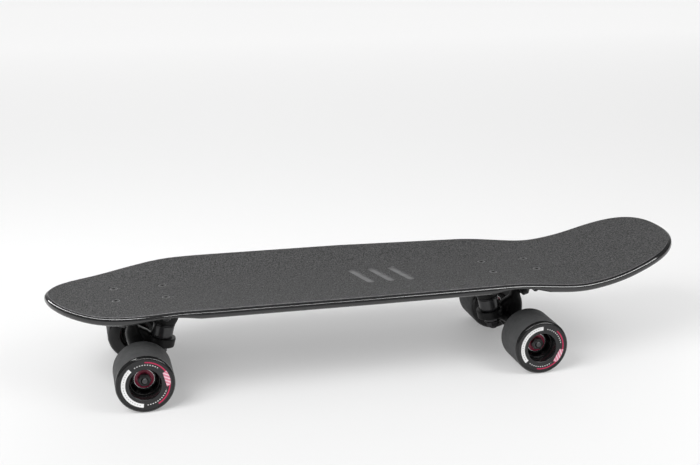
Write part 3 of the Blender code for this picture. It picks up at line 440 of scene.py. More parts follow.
# %% [markdown]
# ## The deck's shape
# The deck is seven glued plies pressed in a mould. Seen from above, both ends are superellipses, and
# the rails run in slowly towards the tail. The tail kicks up, the nose lifts a little, and the rails
# rise over a flat strip along the middle. All of that is height as a formula of place, so the same
# formula can shape the top, the underside and the grip tape.

# %% Deck outline and height
DECK_LENGTH = 0.7308
DECK_WIDTH = 0.2005
DECK_THICKNESS = 0.0085
TOP_EDGE = 0.0030
BOTTOM_EDGE = 0.0042
NOSE_LENGTH, NOSE_ALONG, NOSE_ACROSS = 0.199, 2.7, 1.78
TAIL_LENGTH, TAIL_ALONG, TAIL_ACROSS = 0.2485, 8.0, 2.32
TAPER_LENGTH, TAPER_SLOPE = 0.379, 0.036
KICK_LENGTH, KICK_RADIUS, KICK_ANGLE = 0.1558, 0.260, math.radians(18.8)
NOSE_BEND_LENGTH, NOSE_BEND_RADIUS, NOSE_ANGLE = 0.068, 0.320, math.radians(12.0)
FLAT_WIDTH, CONCAVE_RISE, CONCAVE_POWER = 0.060, 0.0096, 1.7
NOSE_FADE, TAIL_FADE = (0.038, 0.148), (0.124, 0.229)
WELL_LENGTH, WELL_DEPTH, WELL_REACH, WELL_INBOARD = 0.064, 0.0042, 0.046, 0.0185
SEAT_GAP = 0.0003
GRIP_THICKNESS = 0.0009
NORMAL_STEP = 0.0005

nose_tip = -DECK_LENGTH / 2 + (DECK_THICKNESS - BOTTOM_EDGE) * math.sin(NOSE_ANGLE)
tail_tip = DECK_LENGTH / 2 - (DECK_THICKNESS - BOTTOM_EDGE) * math.sin(KICK_ANGLE)
nose_join = nose_tip + NOSE_LENGTH
tail_join = tail_tip - TAIL_LENGTH
deck_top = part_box("front_riser")[1].z + SEAT_GAP + DECK_THICKNESS


def smoothstep(value):
    value = min(max(value, 0.0), 1.0)
    return value * value * (3 - 2 * value)


def half_width(x):
    """Half the deck's width at x."""
    half = DECK_WIDTH / 2 - TAPER_SLOPE * max(x - (tail_tip - TAPER_LENGTH), 0.0)
    to_nose = min((nose_join - x) / NOSE_LENGTH, 1.0)
    to_tail = min((x - tail_join) / TAIL_LENGTH, 1.0)
    if to_nose > 0:
        half *= (1 - to_nose**NOSE_ALONG) ** (1 / NOSE_ACROSS)
    if to_tail > 0:
        half *= (1 - to_tail**TAIL_ALONG) ** (1 / TAIL_ACROSS)
    return half


def bend(run, radius, angle):
    """Rise of a bend that ends in a straight slope, after a run along X."""
    if run <= 0:
        return 0.0
    round_run = radius * math.sin(angle)
    if run <= round_run:
        return radius - math.sqrt(radius * radius - run * run)
    return radius * (1 - math.cos(angle)) + (run - round_run) * math.tan(angle)


def rise(x, y):
    """Height of the deck's top over its flat middle."""
    kick = bend(x - (tail_tip - KICK_LENGTH), KICK_RADIUS, KICK_ANGLE)
    nose = bend(nose_tip + NOSE_BEND_LENGTH - x, NOSE_BEND_RADIUS, NOSE_ANGLE)
    share = max(abs(y) - FLAT_WIDTH / 2, 0.0) / (DECK_WIDTH / 2 - FLAT_WIDTH / 2)
    from_nose = smoothstep((x - nose_tip - NOSE_FADE[0]) / (NOSE_FADE[1] - NOSE_FADE[0]))
    from_tail = smoothstep((tail_tip - x - TAIL_FADE[0]) / (TAIL_FADE[1] - TAIL_FADE[0]))
    return kick + nose + CONCAVE_RISE * share**CONCAVE_POWER * from_nose * from_tail


def under(x, y, depth):
    """The point at a depth under the deck's top, measured square to it."""
    slope_x = (rise(x + NORMAL_STEP, y) - rise(x - NORMAL_STEP, y)) / (2 * NORMAL_STEP)
    slope_y = (rise(x, y + NORMAL_STEP) - rise(x, y - NORMAL_STEP)) / (2 * NORMAL_STEP)
    upward = Vector((-slope_x, -slope_y, 1)).normalized()
    return Vector((x, y, deck_top + rise(x, y))) - upward * depth


def well(x, y):
    """Depth of the wheel wells milled into the underside of the rails."""
    across = smoothstep((abs(y) - (DECK_WIDTH / 2 - WELL_REACH)) / WELL_REACH)
    depth = 0.0
    for middle in (truck_x["front"] + WELL_INBOARD, truck_x["rear"] - WELL_INBOARD):
        along = (x - middle) / (WELL_LENGTH / 2)
        depth += WELL_DEPTH * max(1 - along * along, 0.0) * across
    return depth


# %% [markdown]
# The outline has more points where it turns quickly, at both ends. Loops drawn in from it towards the
# deck's middle line cover the flat of the board, and loops that step in and down round a quarter
# circle make the rounded edge.

# %% Loops over the deck
NOSE_STEPS, MIDDLE_STEPS, TAIL_STEPS = 26, 62, 24
TAIL_CURVE_SHARE = 0.70
NOSE_SPINE, TAIL_SPINE = 0.105, 0.086
FLAT_LOOPS = 15


def deck_outline():
    """The deck's edge as a counterclockwise loop of (x, y) from the nose tip."""
    stations = []
    for step in range(NOSE_STEPS):
        turn = math.pi / 2 * step / NOSE_STEPS
        stations.append(nose_join - NOSE_LENGTH * math.cos(turn) ** (2 / NOSE_ALONG))
    curve_start = tail_join + TAIL_CURVE_SHARE * TAIL_LENGTH
    for step in range(MIDDLE_STEPS):
        stations.append(nose_join + (curve_start - nose_join) * step / MIDDLE_STEPS)
    first_turn = math.acos(TAIL_CURVE_SHARE ** (TAIL_ALONG / 2))
    for step in range(TAIL_STEPS + 1):
        turn = first_turn * (1 - step / TAIL_STEPS)
        stations.append(tail_join + TAIL_LENGTH * math.cos(turn) ** (2 / TAIL_ALONG))
    left = [(x, -half_width(x)) for x in stations]
    return left + [(x, -y) for x, y in left[-2:0:-1]]


def inset(loop, distances):
    """The loop moved inwards, square to its edge, by a distance for each point."""
    moved = []
    for i, (x, y) in enumerate(loop):
        after = loop[(i + 1) % len(loop)]
        along = Vector((after[0] - loop[i - 1][0], after[1] - loop[i - 1][1])).normalized()
        moved.append((x - along.y * distances[i], y + along.x * distances[i]))
    return moved


def drawn_in(loop, share):
    """The loop shrunk towards the middle line between the ends of the spine."""
    points = []
    for x, y in loop:
        middle = min(max(x, nose_tip + NOSE_SPINE), tail_tip - TAIL_SPINE)
        points.append((middle + share * (x - middle), share * y))
    return points


outline = deck_outline()
broadest = 2 * max(y for _, y in outline)
print("deck outline points:", len(outline), "widest in mm:", round(broadest / MM, 1))

# %% [markdown]
# One chain of loops goes from the middle of the top, out over the rounded edge, and back to the middle
# of the underside. Where a wheel well leaves less wood, the lower edge gets a smaller round.

# %% Model the deck
EDGE_STEPS = 7


def deck_loops():
    """Outlines from the middle of the top, round the edge, to the middle of the underside."""
    count = len(outline)
    top_edge = inset(outline, [TOP_EDGE] * count)
    shares = [step / FLAT_LOOPS for step in range(FLAT_LOOPS + 1)]
    loops = [[under(x, y, 0.0) for x, y in drawn_in(top_edge, share)] for share in shares]
    for step in range(1, EDGE_STEPS + 1):
        turn = math.pi / 2 * step / EDGE_STEPS
        loop = inset(outline, [TOP_EDGE * (1 - math.sin(turn))] * count)
        loops.append([under(x, y, TOP_EDGE * (1 - math.cos(turn))) for x, y in loop])
    walls = [DECK_THICKNESS - well(x, y) for x, y in outline]
    radii = [min(BOTTOM_EDGE, wall - TOP_EDGE - SEAT_GAP) for wall in walls]
    for step in range(EDGE_STEPS, -1, -1):
        turn = math.pi / 2 * step / EDGE_STEPS
        loop = inset(outline, [radius * (1 - math.sin(turn)) for radius in radii])
        drops = [wall - radius * (1 - math.cos(turn)) for wall, radius in zip(walls, radii)]
        loops.append([under(x, y, drop) for (x, y), drop in zip(loop, drops)])
    low_edge = inset(outline, [BOTTOM_EDGE] * count)
    for share in shares[-2::-1]:
        loop = drawn_in(low_edge, share)
        loops.append([under(x, y, DECK_THICKNESS - well(x, y)) for x, y in loop])
    return loops


deck = drawn(deck_loops(), flat_ends=False)
print("deck faces:", len(deck.faces), "open edges:", sum(edge.is_boundary for edge in deck.edges))

# %% [markdown]
# ## Deck finish
# The wood is stained black and sealed with a clear gloss lacquer, which fills the grain but not quite.
# A noise stretched along the board leaves that grain as a very low relief, and the lacquer's own gloss
# varies a little. Where the grip tape is cut out, the lacquer under it is grey.

# %% Lacquer materials
GRAIN_STRETCH = (14, 260, 260)


def lacquer(name, colour, roughness, coat, sheen):
    return finish(
        name, colour, roughness, (45.0, 0.04, 0.06), (1.0, 0.06, 0.0004, 5.0), (0.6, 3.0, 0.75, 1.0),
        GRAIN_STRETCH, Coat_Weight=coat, Coat_Roughness=0.05, Coat_IOR=1.6, Specular_IOR_Level=sheen,
    )


black_lacquer = lacquer("black deck lacquer", (0.010, 0.010, 0.0105), 0.24, 1.0, 0.1)
grey_lacquer = lacquer("grey deck lacquer", (0.17, 0.17, 0.172), 0.60, 0.0, 0.2)
print("lacquers:", black_lacquer.name, "and", grey_lacquer.name)

# %% [markdown]
# The holes for the deck bolts are drilled and countersunk after pressing, so they are cut here last.
# The top's faces under the bars that are cut from the grip tape get the grey lacquer.

# %% Cut the bolt holes and finish the deck
BOLT_HOLE, HEAD_HOLE, HEAD_SHOULDER = 0.0028, 0.0050, 0.0003
BAR_GROUP_X, DESIGN_HALF_LENGTH, DESIGN_HALF_WIDTH = 0.0132, 0.07, 0.045
CUTTER_ABOVE, FACES_UP = 0.005, 0.9


def bolt_cutter(place):
    """A countersunk hole's shape, standing up through the deck."""
    shoulder, high = deck_top + HEAD_SHOULDER, deck_top + CUTTER_ABOVE
    profile = [(0, deck_top - 2 * DECK_THICKNESS), (BOLT_HOLE, deck_top - 2 * DECK_THICKNESS)]
    profile += [(BOLT_HOLE, shoulder - HEAD_HOLE + BOLT_HOLE), (HEAD_HOLE, shoulder)]
    return turned(profile + [(HEAD_HOLE, high), (0, high)], 32, Matrix.Translation(place))


def under_the_design(face):
    middle = face.calc_center_median()
    inside = abs(middle.x - BAR_GROUP_X) < DESIGN_HALF_LENGTH and abs(middle.y) < DESIGN_HALF_WIDTH
    return 1 if inside and middle.z > deck_top - MM and face.normal.z > FACES_UP else 0


deck = painted(carved(deck, cut=[bolt_cutter(place) for place in bolt_at.values()]), under_the_design)
new_piece("deck_board", deck, "board", "stained_maple", [black_lacquer, grey_lacquer], "deck")
print("deck:", pieces_made[-1])

# %% [markdown]
# ## Grip tape
# Grip tape is a stiff sheet with silicon carbide grit glued on. Up close it is a field of tiny grains,
# a few of which face the lamp and sparkle. It is trimmed with a blade along the deck's edge, which
# leaves a thin paler line where the blade broke the grit. The sheet is modelled from the same loops as
# the deck's top, and the three bars and the bolt heads are cut from it.

# %% Grit materials
GRAIN, GRAIN_HEIGHT, SPARKLE_FROM = 0.00055, 0.0003, 0.95


def grit(name, colour, low, high):
    """Grains of many shades in soft patches, a few of which are smooth enough to sparkle."""
    made, tree, shader = new_material(name, colour, 0.85, Specular_IOR_Level=0.06)
    place = object_place(tree)
    grains = node(tree, "ShaderNodeTexVoronoi", {"Vector": place, "Scale": 1 / GRAIN}).outputs
    parts = node(tree, "ShaderNodeSeparateColor", {"Color": grains["Color"]}).outputs
    combed = node(tree, "ShaderNodeMapping", {"Vector": place, "Scale": (1.0, 0.4, 1.0)})
    patches = uneven(tree, combed.outputs["Vector"], 760.0, low, high, 2.0)
    strength = maths(tree, "MULTIPLY", patches, maths(tree, "MULTIPLY_ADD", parts["Red"], 0.9, 0.55))
    bright = tuple(2 * part for part in colour)
    shade = mixed(tree, maths(tree, "MULTIPLY", strength, 0.5), (0.0, 0.0, 0.0), bright)
    sparkle = maths(tree, "GREATER_THAN", parts["Green"], SPARKLE_FROM)
    height = maths(tree, "SUBTRACT", 1.0, grains["Distance"])
    inputs = {"Strength": 0.55, "Distance": GRAIN_HEIGHT, "Height": height}
    bump = node(tree, "ShaderNodeBump", inputs).outputs["Normal"]
    gloss = maths(tree, "MULTIPLY_ADD", sparkle, -0.5, 0.82)
    wire(shader, Base_Color=shade, Roughness=gloss, Normal=bump)
    return made


grip_grit = grit("grip grit", (0.067, 0.067, 0.0675), 0.55, 1.45)
cut_grit = grit("cut grit edge", (0.15, 0.15, 0.152), 0.85, 1.15)
print("grit:", grip_grit.name, "and", cut_grit.name)

# %% [markdown]
# The design in the middle of this tape is kept generic: three slanted bars with round ends, about as
# large and as pale as what such a board shows there.

# %% Model the grip tape
BAR_COUNT, BAR_LENGTH, BAR_WIDTH, BAR_PITCH = 3, 0.054, 0.009, 0.024
BAR_SLANT = math.radians(15.0)
GRIP_LOOPS = 16
DENT_FROM, DENT_TO, DENT_WIDER = 0.0007, 0.0013, 0.0010
DARK_RIM, CUT_FACES_UP = 0.002, 0.8
sheet_low, sheet_high = deck_top - 0.002, deck_top + 0.004


def grip_loops():
    """Outlines from the middle of the sheet's top, over its cut edge, to the middle of its back."""
    edge = inset(outline, [TOP_EDGE] * len(outline))
    shares = [step / GRIP_LOOPS for step in range(GRIP_LOOPS + 1)]
    top = -SEAT_GAP - GRIP_THICKNESS
    loops = [[under(x, y, top) for x, y in drawn_in(edge, share)] for share in shares]
    return loops + [[under(x, y, -SEAT_GAP) for x, y in drawn_in(edge, share)] for share in shares[::-1]]


def bar_cutter(x):
    """A slanted bar with round ends, standing up through the sheet."""
    half = (BAR_LENGTH - BAR_WIDTH) / 2
    points = corner((0, half), BAR_WIDTH / 2, 0, 180, 10)
    points += corner((0, -half), BAR_WIDTH / 2, 180, 360, 10)
    place = Matrix.Translation((x, 0, 0)) @ Matrix.Rotation(BAR_SLANT, 4, "Z")
    return placed(prism(points, sheet_low, sheet_high), place)


def dent_cutter(place):
    """The hole for a bolt's head, widened above, where the edge of the grit is worn."""
    wide = HEAD_HOLE + DENT_WIDER
    profile = [(0, sheet_low), (HEAD_HOLE, sheet_low), (HEAD_HOLE, deck_top + DENT_FROM)]
    profile += [(wide, deck_top + DENT_TO), (wide, sheet_high), (0, sheet_high)]
    return turned(profile, 32, Matrix.Translation(place))


def cut_edges(face):
    """The blade's cut round the sheet. The rims round the bolt heads stay as dark as the grit."""
    if abs(face.normal.z) > CUT_FACES_UP:
        return 0
    middle = face.calc_center_median().xy
    return 0 if any((middle - at.xy).length < HEAD_HOLE + DARK_RIM for at in bolt_at.values()) else 1


cutters = [dent_cutter(place) for place in bolt_at.values()]
for number in range(BAR_COUNT):
    cutters.append(bar_cutter(BAR_GROUP_X + (number - (BAR_COUNT - 1) / 2) * BAR_PITCH))
grip = painted(carved(drawn(grip_loops(), flat_ends=False), cut=cutters), cut_edges)
new_piece("grip_sheet", grip, "board", "grip_grit", [grip_grit, cut_grit], "grip_tape")
print("grip tape:", pieces_made[-1])

# %% [markdown]
# ## Wheels
# Each wheel is a soft urethane tyre cast round a hard black core. Its tread is ground flat and matt,
# and its lips stay as glossy as the mould. A wheel is drawn about +Z, its outward side, with zero
# midway between its two bearings, and then laid on its axle.

# %% Places and sizes of the wheels
WHEELS = [(end, side) for end in ENDS for side in SIDES]
TREAD_STEPS = 128
BORE, FACE_EDGE = 0.0168, 0.0284
OUTWARD = {"left": -1, "right": 1}

hub_at = {(end, side): joint_at[f"{end}_{side}_wheel_spin"] for end, side in WHEELS}
wheel_place = {
    (end, side): Matrix.Translation(hub_at[end, side])
    @ Matrix.Rotation(-OUTWARD[side] * math.pi / 2, 4, "X")
    for end, side in WHEELS
}
tyre_low, tyre_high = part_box("rear_right_tyre")
hub_y = hub_at["rear", "right"].y
FACE_OUT, FACE_IN = tyre_high.y - hub_y, tyre_low.y - hub_y
TREAD = hub_at["rear", "right"].z


def on_wheels(body, *parts):
    """A copy of each part at each wheel, riding on the wheel's body or on the truck's."""
    made = []
    for end, side in WHEELS:
        owner = f"{end}_truck" if body == "truck" else f"{end}_{side}_wheel"
        for name, bm, slot, materials, cad_name in parts:
            copy = placed(bm, wheel_place[end, side])
            nodes = f"{end}_{side}_{cad_name}"
            made.append(new_piece(f"{end}_{side}_{name}", copy, owner, slot, materials, nodes))
    print("last pieces:", pieces_made[-len(parts):])
    return made


print("wheel faces from the hub in mm:", round(FACE_OUT / MM, 2), round(FACE_IN / MM, 2))

# %% [markdown]
# The print on the outer face turns with the wheel, so it can't be drawn in world coordinates. Each
# tyre carries its own place in the wheel's coordinates as an attribute, turned by the angle at which
# that wheel happened to stop. One material then serves all four.

# %% Store the wheel's own coordinates on a piece
PRINT_TURN = {
    ("front", "left"): 0.0,
    ("rear", "left"): math.radians(-42.0),
    ("front", "right"): math.radians(100.0),
    ("rear", "right"): math.radians(215.0),
}


def store_wheel_place(piece, end, side):
    """Writes each vertex's place in the wheel's own coordinates to the attribute wheel_place."""
    to_wheel = Matrix.Rotation(-PRINT_TURN[end, side], 4, "Z") @ wheel_place[end, side].inverted()
    attribute = piece.data.attributes.new("wheel_place", "FLOAT_VECTOR", "POINT")
    for vert, value in zip(piece.data.vertices, attribute.data):
        value.vector = to_wheel @ vert.co


def polar(tree):
    """Radius in millimetres, angle in degrees and height in millimetres, in the wheel's coordinates."""
    place = node(tree, "ShaderNodeAttribute", attribute_name="wheel_place")
    parts = node(tree, "ShaderNodeSeparateXYZ", {"Vector": place.outputs["Vector"]}).outputs
    flat = node(tree, "ShaderNodeCombineXYZ", {"X": parts["X"], "Y": parts["Y"]}).outputs["Vector"]
    length = node(tree, "ShaderNodeVectorMath", {0: flat}, operation="LENGTH").outputs["Value"]
    angle = maths(tree, "DEGREES", maths(tree, "ARCTAN2", parts["Y"], parts["X"]))
    return maths(tree, "DIVIDE", length, MM), angle, maths(tree, "DIVIDE", parts["Z"], MM)


# %% [markdown]
# The print is a white band, a thin red arc, two rows of plain ticks and a pink block with slanted
# stripes. All but the block are a band of radius times a band of angle, both read from those
# coordinates. The block's inner edge is straight, so it is measured along and across its own middle.

# %% Printed face material
FACE_BLACK = (0.016, 0.016, 0.017)
PRINT_WHITE, PRINT_GREY, TICK_GREY = (0.70, 0.70, 0.70), (0.34, 0.34, 0.34), (0.52, 0.52, 0.52)
PRINT_RED, PRINT_PINK, PRINT_PALE = (0.42, 0.016, 0.070), (0.55, 0.185, 0.25), (0.66, 0.48, 0.54)
PLAIN_MARKS = (
    ((24.6, 25.9, -60.0, 90.0), PRINT_RED),
    ((21.0, 25.3, 131.0, 263.0), PRINT_WHITE),
)
TICK_MARKS = (
    ((22.0, 23.0, 53.0, 120.0), TICK_GREY),
    ((22.0, 23.0, -89.0, -17.0), TICK_GREY),
    ((22.8, 23.6, 138.0, 256.0), PRINT_GREY),
)
BLOCK_ANGLE, BLOCK_CHORD, BLOCK_OUT, BLOCK_HALF, BLOCK_SLANT = 14.0, 20.6, 26.2, 8.0, 0.30
TICK_PITCH, TICK_GAP_SHARE = 7.0, 0.52
STRIPES_ALONG, STRIPES_OUT, STRIPE_GAP_SHARE = 0.24, 0.20, 0.62


def band(tree, value, low, high):
    """1 where the value lies between low and high, as an output."""
    return maths(tree, "COMPARE", value, (low + high) / 2, (high - low) / 2)


def sector(tree, radius, angle, limits):
    """1 inside a band of radius and angle, as an output."""
    low, high, start, end = limits
    middle = (start + end) / 2
    near = maths(tree, "WRAP", maths(tree, "SUBTRACT", angle, middle), 180.0, -180.0)
    inside = band(tree, near, start - middle, end - middle)
    return maths(tree, "MULTIPLY", band(tree, radius, low, high), inside)


def pink_block(tree, radius, angle):
    """The block's mask, and its striped colour."""
    turn = maths(tree, "RADIANS", maths(tree, "SUBTRACT", angle, BLOCK_ANGLE))
    out = maths(tree, "MULTIPLY", radius, maths(tree, "COSINE", turn))
    along = maths(tree, "MULTIPLY", radius, maths(tree, "SINE", turn))
    shifted = maths(tree, "MULTIPLY_ADD", out, -BLOCK_SLANT, along)
    middle = -BLOCK_SLANT * (BLOCK_CHORD + BLOCK_OUT) / 2
    inside = band(tree, shifted, middle - BLOCK_HALF, middle + BLOCK_HALF)
    inside = maths(tree, "MULTIPLY", inside, maths(tree, "GREATER_THAN", out, BLOCK_CHORD))
    inside = maths(tree, "MULTIPLY", inside, maths(tree, "LESS_THAN", radius, BLOCK_OUT))
    slanted = maths(tree, "MULTIPLY", out, STRIPES_OUT)
    slanted = maths(tree, "MULTIPLY_ADD", along, STRIPES_ALONG, slanted)
    stripe = maths(tree, "GREATER_THAN", maths(tree, "FRACT", slanted), STRIPE_GAP_SHARE)
    return inside, mixed(tree, stripe, PRINT_PINK, PRINT_PALE)


def printed_face():
    made, tree, shader = new_material("tyre face print", FACE_BLACK, 0.34, Specular_IOR_Level=0.35)
    radius, angle, _ = polar(tree)
    run = maths(tree, "FRACT", maths(tree, "DIVIDE", angle, TICK_PITCH))
    ticks = maths(tree, "GREATER_THAN", run, TICK_GAP_SHARE)
    colour = FACE_BLACK
    for limits, ink in PLAIN_MARKS:
        colour = mixed(tree, sector(tree, radius, angle, limits), colour, ink)
    for limits, ink in TICK_MARKS:
        mark = maths(tree, "MULTIPLY", ticks, sector(tree, radius, angle, limits))
        colour = mixed(tree, mark, colour, ink)
    block, striped = pink_block(tree, radius, angle)
    place = object_place(tree)
    wire(shader, Base_Color=mixed(tree, block, colour, striped))
    wire(shader, Roughness=uneven(tree, place, 260.0, 0.28, 0.42))
    wire(shader, Normal=relief(tree, place, 1400.0, 0.08, 0.0001))
    return made


tyre_face = printed_face()
print("print marks:", len(PLAIN_MARKS), "plain,", len(TICK_MARKS), "of ticks, 1 block")

# %% [markdown]
# The stone that grinds a tread leaves fine lines round it. The lips beside it and the hollow behind
# keep the gloss of the mould.

# %% Tread and lip materials
TREAD_GREY = (0.060, 0.061, 0.062)
TREAD_DARK, TREAD_PALE = (0.055, 0.056, 0.057), (0.066, 0.067, 0.068)
LINES_PER_MM, LINES_PER_DEGREE = 6.0, 0.02


def ground_tread():
    made, tree, shader = new_material("ground urethane tread", TREAD_GREY, 0.72, Specular_IOR_Level=0.3)
    _, angle, height = polar(tree)
    across = maths(tree, "MULTIPLY", height, LINES_PER_MM)
    along = maths(tree, "MULTIPLY", angle, LINES_PER_DEGREE)
    lines = node(tree, "ShaderNodeCombineXYZ", {"X": across, "Y": along}).outputs["Vector"]
    place = object_place(tree)
    wire(shader, Base_Color=mixed(tree, uneven(tree, place, 90.0, 0.0, 1.0), TREAD_DARK, TREAD_PALE))
    wire(shader, Roughness=uneven(tree, place, 240.0, 0.64, 0.80))
    wire(shader, Normal=relief(tree, lines, 1.0, 0.25, 0.00008, 3.0))
    return made


def moulded_gloss(name, colour, roughness, coat, sheen=0.5):
    """Smooth plastic or urethane, as glossy as its mould."""
    return finish(
        name, colour, roughness, (160.0, 0.04, 0.06), (600.0, 0.05, 0.0001),
        Coat_Weight=coat, Coat_Roughness=0.05, Specular_IOR_Level=sheen,
    )


tyre_tread = ground_tread()
tyre_lip = moulded_gloss("moulded urethane lip", (0.007, 0.007, 0.0073), 0.22, 0.42, 0.2)
print("tyre materials:", tyre_face.name, "and", tyre_tread.name, "and", tyre_lip.name)

# %% [markdown]
# The tyre is one closed profile spun about the axle. A quarter circle rounds the lip on the inner
# side, a tighter one the lip outside, and the printed face is hollowed a little between its edge and
# the bore, as cast faces are.

# %% Model the tyres
OUTER_LIP, INNER_LIP = 0.0039, 0.0048
BORE_EDGE, FACE_HOLLOW = 0.0012, 0.0005


def tyre_profile():
    profile = corner((BORE + BORE_EDGE, FACE_IN + BORE_EDGE), BORE_EDGE, 180, 270, 4)
    profile += corner((TREAD - INNER_LIP, FACE_IN + INNER_LIP), INNER_LIP, 270, 360, 14)
    profile += corner((FACE_EDGE, FACE_OUT - OUTER_LIP), TREAD - FACE_EDGE, 0, 90, 12, OUTER_LIP)
    hollow = FACE_OUT - FACE_HOLLOW
    profile += [(FACE_EDGE - 0.0006, FACE_OUT - 0.0002), (FACE_EDGE - 0.0012, hollow)]
    profile += [(BORE + 0.0018, hollow)]
    return profile + corner((BORE + 0.0010, hollow - 0.0010), 0.0010, 90, 180, 4)


def tyre_part(face):
    """Number 0 for the tread's faces, 1 for the printed face and 2 for the rest of the tyre."""
    radius, z = from_axis(face)
    if radius > TREAD - 0.0002 and z < FACE_OUT - OUTER_LIP:
        return 0
    if z > FACE_OUT - 0.0009 and BORE + 0.0006 < radius < FACE_EDGE - 0.0008:
        return 1
    return 0 if z < 0 and radius > TREAD - 0.0012 else 2


tyre = painted(turned(tyre_profile(), TREAD_STEPS), tyre_part)
tyre_finishes = [tyre_tread, tyre_face, tyre_lip]
tyres = on_wheels("wheel", ("tyre_urethane", tyre, "tyre_urethane", tyre_finishes, "tyre"))
for piece, wheel in zip(tyres, WHEELS):
    store_wheel_place(piece, *wheel)

# %% [markdown]
# ## Wheel cores
# The core is injection moulded from a stiff glossy plastic. Its barrel holds a bearing in each end, a
# web and six spokes carry the outer drum, and the urethane is cast round that drum. The mouth of each
# bearing seat has a small chamfer, so that a bearing can be pressed in.

# %% Model the cores
BEARING_R, BEARING_WIDE, SPACER_LONG = 0.011, 0.007, 0.010
CORE_WALL, CORE_WEB, CORE_SPOKES, SPOKE_WIDE = 0.0015, 0.0030, 6, 0.0030
DRUM_IN, DRUM_OUT = 0.0150, 0.0190

bearing_near = SPACER_LONG / 2 + SEAT_GAP
bearing_far = bearing_near + BEARING_WIDE
bearing_seat = BEARING_R + SEAT_GAP
barrel_r = bearing_seat + CORE_WALL
drum_r = BORE - SEAT_GAP
drum_inside = drum_r - CORE_WALL


def core_body():
    """The hub as a body of revolution, with broken edges."""
    lip = bearing_far + 0.0008
    profile = [(bearing_seat, -bearing_far), (bearing_seat + 0.0005, -lip), (barrel_r, -lip)]
    profile += corner((drum_inside + 0.0006, 0.0006 - DRUM_IN), 0.0006, 180, 270, 3)
    profile += corner((drum_r - 0.0005, 0.0005 - DRUM_IN), 0.0005, 270, 360, 3)
    profile += corner((drum_r - 0.0005, DRUM_OUT - 0.0005), 0.0005, 0, 90, 4)
    profile += corner((drum_inside + 0.0005, DRUM_OUT - 0.0005), 0.0005, 90, 180, 4)
    profile += [(drum_inside, bearing_far + 0.0036), (drum_inside - 0.0006, bearing_far + 0.0030)]
    profile += corner((barrel_r - 0.0004, lip - 0.0004), 0.0004, 0, 90, 3)
    profile += [(bearing_seat + 0.0005, lip), (bearing_seat, lip - 0.0005), (bearing_seat, bearing_near)]
    stop = BEARING_R - 0.0022
    return profile + [(stop, bearing_near), (stop, -bearing_near), (bearing_seat, -bearing_near)]


def pocket(number):
    """The space between two spokes, from the web outwards, with rounded corners."""
    pitch = 360.0 / CORE_SPOKES
    middle_r = (barrel_r + drum_inside) / 2
    half_spoke = math.degrees(SPOKE_WIDE / middle_r) / 2
    start, end = number * pitch + half_spoke, (number + 1) * pitch - half_spoke
    soft = math.degrees(0.0003 / middle_r)
    near, far = barrel_r + 0.0005, drum_inside - 0.0005
    points = corner((0, 0), drum_inside - 0.0001, start + soft, end - soft, 12)
    points += [corner((0, 0), radius, end, end, 1)[0] for radius in (far, near)]
    points += corner((0, 0), barrel_r + 0.0001, end - soft, start + soft, 12)
    points += [corner((0, 0), radius, start, start, 1)[0] for radius in (near, far)]
    return prism(points, CORE_WEB, bearing_far + 0.02)


core_gloss = moulded_gloss("glossy core plastic", (0.003, 0.003, 0.0032), 0.20, 0.15, 0.25)
core = carved(turned(core_body(), 96), cut=[pocket(number) for number in range(CORE_SPOKES)])
on_wheels("wheel", ("core_moulding", core, "core_plastic", [core_gloss], "core"))

# %% [markdown]
# ## Bearings, nuts and axles
# A bearing is two hardened steel rings with a coloured shield pressed between them on each side. The
# shield sits a little below the rings' faces. The nut outside is a lock nut: a hexagon with chamfered
# corners, and a nylon collar that grips the thread.

# %% Metal materials
def ground_steel(name, colour, low, spread):
    """Steel with fine turning marks, whose roughness goes from low to low plus spread."""
    return finish(
        name, colour, low, (900.0, 0.0, spread), (3200.0, 0.12, 0.00005), (300.0, 3.0, 0.8, 1.0),
        metallic=1.0,
    )


ring_steel = ground_steel("ground bearing steel", (0.62, 0.62, 0.63), 0.14, 0.16)
zinc_plate = ground_steel("zinc plated steel", (0.50, 0.50, 0.51), 0.24, 0.18)
dark_zinc = ground_steel("dark zinc plated steel", (0.10, 0.10, 0.102), 0.34, 0.18)
black_steel = ground_steel("blackened steel", (0.07, 0.07, 0.073), 0.30, 0.18)
shield_red = moulded_gloss("crimson bearing shield", (0.34, 0.014, 0.060), 0.34, 0.1)
nylon = moulded_gloss("nylon collar", (0.03, 0.03, 0.032), 0.45, 0.0)
print("metals:", ring_steel.name, zinc_plate.name, dark_zinc.name, black_steel.name)

# %% [markdown]
# The rings and shields of a bearing are spun one by one. A shield lies below the rings' faces, and
# is raised a little between its two rims.

# %% Model the bearings
AXLE_R, RING_EDGE = 0.004, 0.0002
INNER_LAND, OUTER_LAND = AXLE_R + SEAT_GAP + 0.0019, BEARING_R - 0.0008


def ring_profile(inner, outer, low, high, edge):
    """A ring's section with chamfered edges."""
    profile = [(inner, low + edge), (inner + edge, low), (outer - edge, low), (outer, low + edge)]
    profile += [(outer, high - edge), (outer - edge, high)]
    return profile + [(inner + edge, high), (inner, high - edge)]


